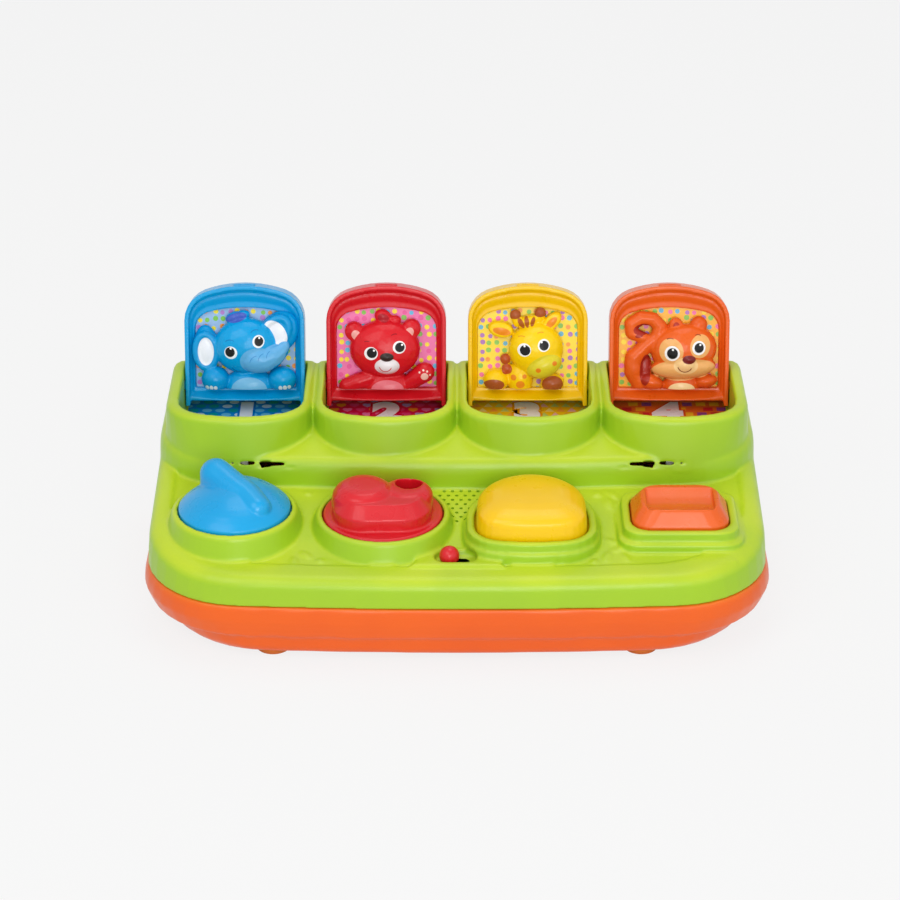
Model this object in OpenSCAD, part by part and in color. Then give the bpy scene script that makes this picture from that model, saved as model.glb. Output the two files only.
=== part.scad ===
// Pop up animal toy: a sloped deck of four controls, each of which lets go of one sprung lid
// with an animal under it. X is to the right, Y away from the child, Z up.
// The origin is the middle of the footprint on the surface that the toy stands on.

/* [Casing] */
// Space between neighbouring doors
door_space = 10.9; // [9.6:0.1:16]
// From the centre of the outermost door to the side of the casing at the seam
end_reach = 42.2; // [42:0.2:52]
// Height of the feet
foot_h = 4; // [3:0.5:6]
// Radius of the feet
foot_r = 9; // [6:0.5:12]
// Height of the seam between the two casings
seam_z = 30; // [28:0.5:32]
// Thickness of the casing walls
wall = 2.4; // [1.8:0.1:2.8]
// Radius of the casing's front corners in plan
front_corner_r = 48; // [40:1:52]
// Radius of the casing's back corners in plan
back_corner_r = 9; // [6:0.5:9.5]
// Radius of the bowed front edge in plan
front_bow_r = 1600; // [1200:50:2400]
// How far the lower casing bulges beyond the seam at the sides
side_bulge = 2; // [1:0.5:3]
// How far the lower casing bulges beyond the seam at the front and the back
front_bulge = 1; // [0.5:0.5:2]

/* [Deck] */
// From the casing's front to the housing's front wall
deck_depth = 78; // [77:0.1:84]
// Height of the deck at its front edge
deck_front_z = 44; // [42:0.5:46]
// Slope of the deck in degrees
deck_tilt = 7; // [5:0.5:8]
// Width of the raised rim at the sides of the deck
rim_w = 10.5; // [9:0.5:12]
// Extra width of the raised rim at the front of the deck
rim_front_extra = 4.3; // [3:0.1:6]
// Height of the rim above the deck
rim_rise = 1.2; // [0.6:0.2:2]
// Distance of the controls from the casing's front
control_reach = 50.7; // [50:0.1:53]

/* [Housing] */
// From the housing's front wall to the wells
housing_front = 14.2; // [13.6:0.1:15.4]
// Height of the housing's front step
step_z = 67; // [65:0.5:69]
// Height of the rims of the wells
well_rim_z = 85; // [83:0.5:88]
// Depth of the wells under their rims
well_depth = 22; // [21:0.5:24]
// Width of the rounded lip round each well
lip_w = 4.6; // [4:0.1:4.6]
// Extra thickness of the outermost arms
arm_extra = 1.8; // [1.7:0.1:3]

/* [Doors] */
// Width of a door
door_w = 59.6; // [56:0.2:60]
// From the hinge to the far edge of a door
door_reach = 50.6; // [47:0.2:52]
// From the hinge to the tail end of a door
door_tail = 10; // [9:0.2:10.4]
// Depth of a door's rim walls
door_depth = 12; // [10:0.5:13]
// Thickness of a door's rim walls
door_wall = 2.2; // [1.8:0.1:2.6]
// Thickness of a door's panel
panel_t = 5; // [3:0.5:5]
// Radius of the arched far edge of a door
arch_r = 60; // [52:0.5:70]
// Radius of the corners at the ends of the arch
arch_corner_r = 15; // [12:0.5:17]
// Distance of the hinge from the casing's back
hinge_back = 14.5; // [14.4:0.1:16]
// Depth of the hinge under the rims of the wells
hinge_drop = 8; // [7.5:0.1:9]
// Angle that an open door leans back
door_lean = 15; // [5:1:16]
// Gap between a door and its well
door_gap = 0.5; // [0.4:0.05:0.7]
// Radius of the hinge stubs
stub_r = 2.5; // [2:0.1:3]
// Width of the window in front of a door's picture
window_w = 50; // [44:1:52]
// Thickness of the printed labels
label_t = 0.4; // [0.3:0.05:0.5]

/* [Controls] */
// Height of the collars round the controls
collar_z = 55; // [54:0.5:57]
// Thickness of the collars at their top
collar_w = 3; // [2.5:0.25:4]
// Radius of the twist knob's dome
knob_r = 26.6; // [24:0.2:27.5]
// Height of the twist knob's dome above its collar
knob_rise = 13; // [10:0.5:15]
// Radius of the dial's flange
dial_r = 28.5; // [26:0.25:28.5]
// Radius of the dial's finger hole
finger_r = 6.5; // [6:0.25:7]
// Width of the push button
button_w = 53; // [50:0.5:55]
// From the middle of the push button to its front edge
button_front = 28.5; // [27:0.5:30]
// Width of the push bar
bar_w = 46; // [42:0.5:50]
// Depth of the push bar from front to back
bar_d = 35; // [32:0.5:38]
// Radius of the scoop for the fingers in the push bar
scoop_r = 20; // [18:0.5:30]
// Travel of the push button and the push bar
press_travel = 4; // [3:0.25:4]
// Turn of the twist knob and the dial in degrees
turn_travel = 45; // [30:1:45]
// Gap round a control in its collar
control_gap = 0.4; // [0.3:0.05:0.6]
// Radius of the posts that guide the controls
post_r = 4; // [3.5:0.1:4.5]
// Gap between a shaft and its bore
fit_gap = 0.05; // [0.02:0.01:0.1]
// Diameter of the mode slider's knob
slider_d = 9.5; // [9:0.25:10]
// Travel of the mode slider
slider_travel = 6; // [5:0.25:6]

/* [Insides] */
// Travel of the latch bars
latch_travel = 1.8; // [1.2:0.1:1.8]
// Width of the latch noses
latch_w = 8; // [6:0.5:10]
// Radius of the battery cells
cell_r = 7.1; // [7:0.05:7.25]
// Length of the battery cells with their studs
cell_l = 50.5; // [49:0.5:51]
// Radius of the speaker
speaker_r = 15.5; // [14:0.5:16]
// Radius of the screws' shanks
screw_r = 1.25; // [1:0.05:1.5]
// Diameter of the speaker grille's holes
grille_d = 1.4; // [1:0.1:1.8]
// Distance between the speaker grille's holes
grille_pitch = 4.1; // [3.6:0.1:5]

/* [Hidden] */
$fn = 64;
thin = 0.01;
gap = 0.3;
cut = 1;

door_pitch = door_w + door_space;
side = 1.5 * door_pitch + end_reach;
half_depth = (deck_depth + housing_front + door_gap + door_reach + hinge_back) / 2;
hinge_y = half_depth - hinge_back;
nose_face_y = hinge_y - door_reach - door_gap;
deck_rear_y = nose_face_y - housing_front;
control_y = -half_depth + control_reach;
floor_z = foot_h + wall;
hinge_z = well_rim_z - hinge_drop;
well_floor_z = well_rim_z - well_depth;
well_half = door_w / 2 + door_gap;
tail_r = door_tail + 0.3;
well_back_y = hinge_y + tail_r + door_gap;
housing_back_y = half_depth - 1;
// the open doors reach out behind the casing; the origin is in the middle of the whole toy
casing_overhang = 1;
lid_back_y = hinge_y + door_reach * sin(door_lean) + hinge_drop * cos(door_lean);
middle_y = max(0, lid_back_y - half_depth - casing_overhang) / 2;
module placed() translate([0, -middle_y, 0]) children();

door_colors = ["deepskyblue", "crimson", "gold", "darkorange"];
case_green = "yellowgreen";
case_orange = "orangered";

// the casing's plan: a bowed front, large front corners, small back corners
function arc(cx, cy, r, a0, a1, n) =
    [for (i = [0:n]) let (a = a0 + (a1 - a0) * i / n) [cx + r * cos(a), cy + r * sin(a)]];
function inner(points, first) = [for (i = [first:len(points) - 2 + first]) points[i]];
function plan(half, reach, front = undef, rf = front_corner_r) = let (
    rb = back_corner_r,
    cy = front_bow_r + (is_undef(front) ? -reach : front),
    corner_y = cy - sqrt(pow(front_bow_r - rf, 2) - pow(half - rf, 2)),
    a = acos((half - rf) / (front_bow_r - rf)),
    bow = arc(0, cy, front_bow_r, a - 180, -a, 8)
) concat(
    bow,
    inner(arc(half - rf, corner_y, rf, -a, 0, 9), 1),
    arc(half - rb, reach - rb, rb, 0, 90, 5),
    arc(rb - half, reach - rb, rb, 90, 180, 5),
    inner(arc(rf - half, corner_y, rf, 180, 180 + a, 9), 0)
);
// a box with round corners, and the arch that doors and wells share, seen with its far edge up
function round_box(half, y0, y1, r0, r1) = concat(
    arc(half - r0, y0 + r0, r0, -90, 0, 4),
    arc(half - r1, y1 - r1, r1, 0, 90, 4),
    arc(r1 - half, y1 - r1, r1, 90, 180, 4),
    arc(r0 - half, y0 + r0, r0, 180, 270, 4)
);
function arch(half, bottom, top, r, rc) = let (
    cy = top - r,
    corner_y = cy + sqrt(pow(r - rc, 2) - pow(half - rc, 2)),
    a = acos((half - rc) / (r - rc))
) concat(
    [[half, bottom]],
    arc(half - rc, corner_y, rc, 0, a, 5),
    [for (i = [1:9]) let (t = a + (180 - 2 * a) * i / 10) [r * cos(t), cy + r * sin(t)]],
    arc(rc - half, corner_y, rc, 180 - a, 180, 5),
    [[-half, bottom]]
);
function door_arch(grow, bottom) =
    arch(door_w / 2 + grow, bottom, door_reach + grow, arch_r + grow, max(arch_corner_r + grow, 1));
function flip(points, y) = [for (p = points) [p[0], y - p[1]]];
function well_arch(grow, back) = flip(door_arch(door_gap + grow, hinge_y - back), hinge_y);
rim_front = rim_w + rim_front_extra;
function deck_z(y) = deck_front_z + (y + half_depth - rim_front) * tan(deck_tilt);
function door_x(n) = (n - 2.5) * door_pitch;

module layer(z, half, reach) translate([0, 0, z]) linear_extrude(thin) polygon(plan(half, reach));
module prism(z0, z1, points) translate([0, 0, z0]) linear_extrude(z1 - z0) polygon(points);
module bar_x(half, points) rotate([90, 0, 90]) linear_extrude(2 * half, center = true) polygon(points);
module tube(r, bore, z0, z1) difference() {
    translate([0, 0, z0]) cylinder(r = r, h = z1 - z0);
    translate([0, 0, z0 - cut]) cylinder(r = bore, h = z1 - z0 + 2 * cut);
}
// the door's own frame: X along the hinge, Y up the picture, Z out of it
module on_door(n) translate([door_x(n), hinge_y, hinge_z]) rotate([90 - door_lean, 0, 0]) children();
module on_control(n) translate([door_x(n), control_y, 0]) children();

// a round wire along a coil, with closed ends, its axis along Z
coil_steps = 8;
coil_sides = 6;
function coil_points(r, turns, height) =
    [for (i = [0:turns * coil_steps]) let (a = 360 * i / coil_steps)
        [r * cos(a), r * sin(a), height * i / (turns * coil_steps)]];
function coil_gap(r, wire, turns, height) = let (p = coil_points(r, turns, height))
    min([for (i = [0:len(p) - 1 - coil_steps]) norm(p[i + coil_steps] - p[i])]) - 2 * wire;
module coil(r, wire, turns, height) {
    count = turns * coil_steps;
    rings = [for (i = [0:count], j = [0:coil_sides - 1]) let (
        a = 360 * i / coil_steps,
        b = 360 * j / coil_sides,
        q = r + wire * cos(b)
    ) [q * cos(a), q * sin(a), wire + (height - 2 * wire) * i / count + wire * sin(b)]];
    sides = [for (i = [0:count - 1], j = [0:coil_sides - 1]) let (
        k = (j + 1) % coil_sides,
        a = i * coil_sides,
        b = a + coil_sides
    ) each [[a + j, b + j, b + k], [a + j, b + k, a + k]]];
    ends = [for (j = [1:coil_sides - 2]) each [
        [0, j, j + 1],
        [count * coil_sides, count * coil_sides + j + 1, count * coil_sides + j]
    ]];
    polyhedron(rings, concat(sides, ends));
}

// ---- casings ----
boss_r = 4;
boss_z = seam_z - 6;
case_screw_at = [
    for (s = [-1, 1], p = [[side - 17.5, control_y + 21], [side - 18, half_depth - 18], [48, half_depth - 10.5]])
        [s * p[0], p[1]]
];
screw_head_r = 2 * screw_r;
head_z = foot_h + 3.4;
foot_at = [for (sx = [-1, 1], sy = [-1, 1]) [sx * (side - 61), sy * (half_depth - 18.5)]];
foot_peg_r = foot_r / 3;

battery_half = cell_l / 2 + 4;
battery_y = half_depth - 36;
cell_step = 2 * cell_r + 1;
battery_d = 3 * cell_step + 1;
cell_z = floor_z + gap + cell_r;
battery_top_z = cell_z + cell_r + gap;
cover_lip = 1.5;
tab_pad = 2;
cover_tab_y = battery_y - battery_d / 2 - 9;

post_base_r = post_r + 3;
post_step_z = seam_z - 1;
post_top_z = 52;
board_z = 20;
board_t = 1.6;
board_half = door_x(4) + 14;
board_y0 = control_y - 28;
board_y1 = control_y + 21;
board_screw_at = [for (x = [5 - board_half, 17, board_half - 5], y = [board_y0 + 4, board_y1 - 4]) [x, y]];
guide_y = deck_rear_y - 0.3;
latch_z = 40;
latch_t = 2.5;

module lower_shell_outside() {
    hull() {
        layer(seam_z - thin, side, half_depth);
        layer(seam_z - 3, side + side_bulge * 0.7, half_depth + front_bulge * 0.7);
        layer(seam_z - 8, side + side_bulge, half_depth + front_bulge);
        layer(seam_z - 16, side - 1, half_depth - 0.4);
    }
    hull() {
        layer(seam_z - 15.5, side - 4.5, half_depth - 2);
        layer(foot_h + 3, side - 9, half_depth - 3);
        layer(foot_h, side - 12, half_depth - 4.6);
    }
}
module lower_shell_inside() hull() {
    layer(seam_z + cut, side - wall - 0.6, half_depth - wall - 0.6);
    layer(seam_z - 15, side - 5 - wall, half_depth - 2.4 - wall);
    layer(floor_z, side - 12 - wall, half_depth - 6 - wall);
}
module lower_casing() color(case_orange) difference() {
    union() {
        difference() {
            lower_shell_outside();
            lower_shell_inside();
        }
        for (p = case_screw_at) translate([p[0], p[1], floor_z - cut])
            cylinder(r = boss_r + 1, h = boss_z - floor_z + cut);
        for (n = [1:4]) on_control(n) {
            translate([0, 0, floor_z - cut]) cylinder(r = post_base_r, h = post_step_z - floor_z + cut);
            translate([0, 0, post_step_z - cut]) cylinder(r = post_r, h = post_top_z - post_step_z + cut);
        }
        for (p = board_screw_at) translate([p[0], p[1], floor_z - cut])
            cylinder(r = 3, h = board_z - floor_z + cut);
        // rests that carry the latch bars
        for (n = [1:4]) translate([door_x(n) - 3, guide_y, floor_z - cut])
            cube([6, 4, latch_z - gap - floor_z + cut]);
        prism(floor_z - cut, battery_top_z + wall, round_box(
            battery_half + wall, battery_y - battery_d / 2 - wall, battery_y + battery_d / 2 + wall, 2, 2
        ));
        // the pad over the cover's front tab, with the boss for its screw
        prism(floor_z - cut, floor_z + tab_pad, round_box(
            battery_half + wall, cover_tab_y - 7, battery_y - battery_d / 2, 2, 2
        ));
        translate([0, cover_tab_y, floor_z]) cylinder(r = 4, h = 9);
    }
    for (p = case_screw_at) translate([p[0], p[1], 0]) {
        cylinder(r = screw_r + 0.3, h = seam_z);
        cylinder(r = screw_head_r + 0.4, h = head_z);
    }
    for (p = foot_at) translate([p[0], p[1], 0]) cylinder(r = foot_peg_r + fit_gap, h = floor_z + cut);
    for (p = board_screw_at) translate([p[0], p[1], board_z - 8])
        cylinder(r = screw_r + fit_gap, h = 8 + cut);
    // battery compartment, its cover's seat and the hole for the cover's screw
    prism(0, battery_top_z, round_box(
        battery_half, battery_y - battery_d / 2, battery_y + battery_d / 2, 1, 1
    ));
    prism(0, floor_z, cover_plan(0));
    translate([0, cover_tab_y, 0]) cylinder(r = screw_r + fit_gap, h = floor_z + 8);
}
function cover_plan(grow) = round_box(
    battery_half + cover_lip + grow, cover_tab_y - 5 - grow,
    battery_y + battery_d / 2 + cover_lip + grow, 3, 3
);

module upper_outside() {
    // deck, sunk in behind its rim
    difference() {
        hull() {
            layer(seam_z, side, half_depth);
            layer(seam_z + 6, side - 0.3, half_depth - 0.9);
            for (a = [0:18:90])
                sloped_layer(rim_rise - thin - rim_round * (1 - sin(a)), 1 + rim_round * (1 - cos(a)));
        }
        intersection() {
            prism(seam_z, well_rim_z, plan(side - rim_w, half_depth - rim_front));
            bar_x(side, [
                [-half_depth, deck_z(-half_depth)],
                [housing_back_y, deck_z(housing_back_y)],
                [housing_back_y, deck_z(0) + 12],
                [-half_depth, deck_z(0) + 12]
            ]);
        }
    }
    // stepped housing
    hull() {
        housing_layer(seam_z, side, deck_rear_y, half_depth);
        for (a = [0:18:90]) let (in = 1 - cos(a)) housing_layer(
            step_z - step_round * (1 - sin(a)), side - 1 - 3 * in, deck_rear_y + 1 + 5 * in, housing_back_y
        );
        housing_layer(step_z + 5.6, side - 7.5, deck_rear_y + 28, housing_back_y - 0.5);
    }
    intersection() {
        union() for (n = [1:4]) cup(n);
        prism(seam_z, well_rim_z + cut, plan(side - arm_inset, housing_back_y));
    }
}
arm_inset = 5;
rim_round = 6.2;
step_round = 9;
lip_round = 3.4;
module sloped_layer(z, inset) multmatrix([
    [1, 0, 0, 0],
    [0, 1, 0, 0],
    [0, tan(deck_tilt), 1, deck_z(0) + z],
    [0, 0, 0, 1]
]) linear_extrude(thin) polygon(plan(side - inset, half_depth - inset));
housing_corner_r = 34;
module housing_layer(z, half, y0, y1) prism(z, z + thin, plan(half, y1, y0, housing_corner_r));
// a cup: the half barrel that stands out of the housing round a well
foot_half = well_half + lip_w + 1.4;
cup_foot_y = deck_rear_y + 4.3;
cup_foot = arch(foot_half, hinge_y - housing_back_y, hinge_y - cup_foot_y, foot_half + 1.6, foot_half - 3);
module cup(n) hull() {
    outward = n == 1 ? -arm_extra : n == 4 ? arm_extra : 0;
    for (dx = [0, outward]) translate([door_x(n) + dx, 0, 0]) {
        for (a = [0:22.5:90]) let (in = lip_round * (1 - cos(a)), z = well_rim_z - lip_round * (1 - sin(a)))
            prism(z - thin, z, well_arch(lip_w - in, housing_back_y - in / 2));
        prism(step_z - 8, step_z - 7, flip(cup_foot, hinge_y));
    }
}
module upper_inside() {
    under_deck = wall / cos(deck_tilt);
    front_y = -half_depth + 3.2 + wall;
    shelf_z = step_z - wall;
    intersection() {
        prism(seam_z - cut, well_rim_z, plan(side - 5 - wall, half_depth - 3 - wall));
        bar_x(side, [
            [front_y, seam_z - cut],
            [front_y, deck_z(front_y) - under_deck - 1],
            [-half_depth + rim_front, deck_z(-half_depth + rim_front) - under_deck],
            [housing_back_y - wall, deck_z(housing_back_y - wall) - under_deck],
            [housing_back_y - wall, seam_z - cut]
        ]);
    }
    intersection() {
        prism(seam_z, well_rim_z, plan(side - 5 - wall, half_depth - 3 - wall, deck_rear_y + wall, housing_corner_r));
        bar_x(side, [
            [deck_rear_y + wall, seam_z],
            [deck_rear_y + wall + 0.8, step_z - 8],
            [deck_rear_y + wall + 3, shelf_z],
            [deck_rear_y + 10.7, shelf_z],
            [deck_rear_y + 11.9, well_floor_z - wall],
            [housing_back_y - wall, well_floor_z - wall],
            [housing_back_y - wall, seam_z]
        ]);
    }
}
spring_room = 3.6;
hinge_wall = 1.8;
stub_long = door_gap + hinge_wall + spring_room - gap;
stub_short = door_gap + 2;
spring_x = well_half + hinge_wall + spring_room / 2;
leg_t = 2;
pocket_back_y = nose_face_y - 0.2 - leg_t - latch_travel - 0.3;
nose_z = well_rim_z - door_depth + 2.8;

module hinge_cuts(n) translate([door_x(n), hinge_y, hinge_z]) {
    translate([-well_half - hinge_wall - 0.1, 0, 0]) rotate([0, 90, 0])
        cylinder(r = stub_r + fit_gap, h = 2 * well_half + hinge_wall + 0.1 + 2.2);
    translate([-spring_x - spring_room / 2, 0, 0]) {
        rotate([0, 90, 0]) cylinder(r = stub_r + 2.6, h = spring_room);
        translate([0, -stub_r - 2.6, well_floor_z - wall - cut - hinge_z])
            cube([spring_room, 2 * stub_r + 5.2, hinge_z - well_floor_z + wall + cut]);
    }
}
module latch_cut(n)
    translate([door_x(n) - latch_w / 2 - 0.4, pocket_back_y, well_floor_z - wall - 2 * cut])
    cube([latch_w + 0.8, nose_face_y + cut - pocket_back_y, nose_z + 1.9 - well_floor_z + wall + 2 * cut]);

// plans of the four controls: the part that fills the collar, seen about the control's centre
function circle_plan(r) = arc(0, 0, r, 0, 357, 119);
function button_plan(grow) = let (
    h = button_w / 2 + grow,
    front = arch(h, 0, button_front + grow, 90 + grow, 13 + grow)
) concat(arc(0, -4, h, 0, 180, 24), [for (i = [len(front) - 2:-1:1]) [front[i][0], -front[i][1]]]);
function bar_plan(grow) = round_box(bar_w / 2 + grow, -bar_d / 2 - grow, bar_d / 2 + grow, 9, 9);

lip_t = 2.4;
hollow_grow = 3;
base_z = deck_front_z - 4;
knob_lift = 2;
module collar_outside(n) on_control(n) {
    r = (n == 1 ? knob_r : dial_r) + control_gap;
    top = collar_z + (n == 1 ? knob_lift : 0);
    grow = control_gap + collar_w + 1;
    if (n < 3) {
        translate([0, 0, top - 1.2]) cylinder(r1 = r + collar_w, r2 = r + collar_w - 1.2, h = 1.2);
        translate([0, 0, base_z]) cylinder(r1 = r + collar_w + 4.5, r2 = r + collar_w, h = top - 1.2 - base_z);
    } else {
        prism(base_z, collar_z, n == 3 ? button_plan(grow) : bar_plan(grow));
        prism(base_z, collar_z - 5, n == 3 ? button_plan(grow + 1.6) : bar_plan(grow + 2.4));
    }
}
module collar_cut(n) on_control(n) {
    r = (n == 1 ? knob_r : dial_r) + control_gap;
    top = collar_z + (n == 1 ? knob_lift : 0);
    if (n < 3) {
        translate([0, 0, base_z - 3]) cylinder(r = r, h = top - base_z + 3 + cut);
        translate([0, 0, base_z - 3]) cylinder(r = r + hollow_grow - 0.8, h = top - lip_t - base_z + 3);
    } else {
        prism(base_z - 3, collar_z + cut, n == 3 ? button_plan(control_gap) : bar_plan(control_gap));
        prism(base_z - 3, collar_z - lip_t, n == 3 ? button_plan(hollow_grow) : bar_plan(hollow_grow));
    }
}
mode_y = control_y - 28;
platform_z = deck_z(mode_y) + 1.6;
slot_half = slider_d / 2 + slider_travel / 2 + 2.2;
slot_x = -0.6;
module platform() prism(base_z, platform_z, [
    [-22, mode_y - 9],
    [22, mode_y - 9],
    [13, mode_y + 7],
    [-13, mode_y + 7]
]);
module stadium(half, r, z0, z1) {
    for (s = [-1, 1]) translate([s * (half - r), 0, z0]) cylinder(r = r, h = z1 - z0);
    translate([r - half, -r, z0]) cube([2 * (half - r), 2 * r, z1 - z0]);
}
speaker_x = 4;
speaker_y = deck_rear_y - 11.3;
speaker_drop = 2.6;
grille_r = 17;
module on_speaker(drop = speaker_drop)
    translate([speaker_x, speaker_y, deck_z(speaker_y) - wall / cos(deck_tilt) - drop])
    rotate([deck_tilt, 0, 0]) children();
grille_rows = floor(grille_r / (grille_pitch * sin(60)));
grille_at = [
    for (row = [-grille_rows:grille_rows], col = [-grille_rows:grille_rows])
        let (p = [(col + (row % 2 == 0 ? 0 : 0.5)) * grille_pitch, row * grille_pitch * sin(60)])
            if (norm(p) < grille_r && clear_of_collars(p)) p
];
function clear_of_collars(p) = let (at = [speaker_x + p[0], speaker_y + p[1]])
    norm(at - [door_x(2), control_y]) > dial_r + control_gap + collar_w + 5
    && norm(at - [door_x(3), control_y - 4]) > button_w / 2 + control_gap + collar_w + 2;

module upper_casing() color(case_green) difference() {
    union() {
        difference() {
            upper_outside();
            upper_inside();
            for (n = [1:4]) translate([door_x(n), 0, 0])
                prism(well_floor_z, well_rim_z + cut, well_arch(0, well_back_y));
        }
        intersection() {
            union() {
                for (n = [1:4]) collar_outside(n);
                platform();
            }
            bar_x(side, [
                [-half_depth, deck_z(-half_depth) - 2],
                [nose_face_y, deck_z(nose_face_y) - 2],
                [nose_face_y, well_rim_z],
                [-half_depth, well_rim_z]
            ]);
        }
        for (p = case_screw_at) translate([p[0], p[1], boss_z]) cylinder(r = boss_r, h = boss_height(p));
        on_speaker() tube(speaker_r + 0.2 + 1.8, speaker_r + 0.2, -5, speaker_drop + 0.6);
        on_speaker() for (a = [30, 150, 270]) rotate([0, 0, a]) translate([speaker_r + 4.6, 0, -5])
            cylinder(r = 2.8, h = speaker_drop + 5.6);
    }
    for (p = case_screw_at) translate([p[0], p[1], boss_z - cut])
        cylinder(r = screw_r + fit_gap, h = 9 + cut);
    for (n = [1:4]) {
        hinge_cuts(n);
        latch_cut(n);
        collar_cut(n);
    }
    translate([slot_x, mode_y, 0]) {
        stadium(slot_half, slider_d / 2 + 0.4, platform_z - 3, platform_z + cut);
        stadium(slider_travel / 2 + 3, 2.6, base_z - 4, platform_z);
    }
    on_speaker(0) for (p = grille_at) translate([p[0], p[1], -2])
        cylinder(d = grille_d, h = wall + 4, $fn = 16);
    on_speaker() for (a = [30, 150, 270]) rotate([0, 0, a]) translate([speaker_r + 4.6, 0, -6])
        cylinder(r = screw_r + fit_gap - 0.2, h = 6);
}
function boss_height(p) = (p[1] < deck_rear_y ? deck_z(p[1]) : well_floor_z) - wall / 2 - boss_z;

module feet() color("sienna") for (p = foot_at) translate([p[0], p[1], 0]) {
    cylinder(r1 = foot_r - 1, r2 = foot_r, h = foot_h / 2);
    translate([0, 0, foot_h / 2]) cylinder(r = foot_r, h = foot_h / 2);
    translate([0, 0, foot_h - cut]) cylinder(r = foot_peg_r, h = wall + cut);
}
module screw(head_r, head_t, r, length) {
    cylinder(r = head_r, h = head_t);
    translate([0, 0, head_t - cut / 2]) cylinder(r = r, h = length + cut / 2);
}
module case_screws() color("silver") for (p = case_screw_at) translate([p[0], p[1], head_z - 2])
    difference() {
    screw(screw_head_r, 2, screw_r, boss_z - head_z + 7);
    translate([0, 0, -cut]) cylinder(r = 0.9, h = 2);
}

// ---- battery compartment ----
module battery_cover() color(case_orange) difference() {
    union() {
        prism(foot_h + 0.2, foot_h + 0.2 + wall - 0.5, cover_plan(-gap));
        for (s = [-1, 1])
            translate([s * battery_half / 2 - 5, battery_y + battery_d / 2 - 2, floor_z - 0.6])
            cube([10, 1.7, 3.6]);
    }
    translate([0, cover_tab_y, 0]) cylinder(r = screw_r + 0.2, h = floor_z + cut);
    translate([0, cover_tab_y, 0]) cylinder(r = screw_head_r + 0.2, h = foot_h + 1.2);
}
module battery_cover_screw() color("silver") translate([0, cover_tab_y, foot_h + 1.2]) mirror([0, 0, 1]) {
    cylinder(r = screw_head_r, h = 1);
    mirror([0, 0, 1]) cylinder(r = screw_r, h = 8);
}
module batteries() color("dimgray") for (i = [-1:1])
    translate([0, battery_y + i * cell_step, cell_z]) rotate([0, i == 0 ? 90 : -90, 0]) {
    translate([0, 0, -cell_l / 2]) cylinder(r = cell_r, h = cell_l - 1.5);
    translate([0, 0, cell_l / 2 - 2]) cylinder(r = 2.7, h = 2);
}
module battery_contacts() color("silver") for (s = [-1, 1], i = [-1:1])
    translate([s * battery_half, battery_y + i * cell_step, cell_z]) rotate([0, -90 * s, 0]) {
    translate([-5, -5, 0]) cube([10, 10, 0.6]);
    translate([0, 0, 0.5]) cylinder(r = 3, h = 3.2);
}

// ---- electronics ----
module circuit_board() color("seagreen") difference() {
    prism(board_z, board_z + board_t, round_box(board_half, board_y0, board_y1, 3, 3));
    for (n = [1:4]) on_control(n) translate([0, 0, board_z - cut])
        cylinder(r = post_base_r + 0.5, h = board_t + 2 * cut);
    for (p = board_screw_at) translate([p[0], p[1], board_z - cut])
        cylinder(r = screw_r + 0.2, h = board_t + 2 * cut);
}
module board_screws() color("silver") for (p = board_screw_at)
    translate([p[0], p[1], board_z + board_t + 1.4]) mirror([0, 0, 1])
    screw(screw_head_r, 1.4, screw_r, board_t + 6);
module board_components() color("black") {
    top = board_z + board_t;
    translate([-door_pitch, control_y, top]) cylinder(r = 7, h = 1.4);
    translate([-door_pitch - 11, control_y + 9, top]) cylinder(r = 3.2, h = 8);
    translate([door_pitch - 10, control_y - 12, top]) cube([10, 6, 2]);
    translate([door_pitch + 4, control_y + 8, top]) cylinder(r = 2.5, h = 7);
    translate([door_pitch - 8, control_y + 6, top]) cube([4, 8, 1.6]);
}
switch_h = 5;
module touch_switches() color("black") for (n = [1:4]) on_control(n)
    translate([0, -14, board_z + board_t]) {
    translate([-3, -3, 0]) cube([6, 6, 3.5]);
    translate([0, 0, 3]) cylinder(r = 1.7, h = switch_h - 3);
}
switch_top_z = board_z + board_t + 6;
module mode_switch() color("silver") translate([slot_x, mode_y, 0]) difference() {
    prism(board_z + board_t, switch_top_z, round_box(11, -3.5, 3.5, 0.5, 0.5));
    translate([-slider_travel / 2 - 2, -1.6, switch_top_z - 4]) cube([slider_travel + 4, 3.2, 5]);
}
module speaker_frame() color("dimgray") on_speaker() rotate_extrude() polygon([
    [speaker_r - 2, -0.3], [speaker_r, -0.3], [speaker_r, -1.8], [speaker_r - 1.6, -1.8],
    [speaker_r - 6, -8.8], [3.4, -8.8], [3.4, -7.6], [speaker_r - 6.8, -7.6], [speaker_r - 2.4, -1.4]
]);
module speaker_cone() color("black") on_speaker() rotate_extrude() polygon([
    [0, -4.6], [3.6, -5.2], [speaker_r - 3.5, -1], [speaker_r - 3.1, -1.8],
    [3.2, -6.4], [3.2, -7.4], [0, -7.4]
]);
module speaker_magnet() color("silver") on_speaker() translate([0, 0, -12.8]) cylinder(r = 8, h = 4);
module speaker_screws() color("silver") on_speaker() for (a = [30, 150, 270]) rotate([0, 0, a])
    translate([speaker_r + 4.6, 0, -6]) screw(screw_head_r + 3, 1, screw_r - 0.2, 4.8);

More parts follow.
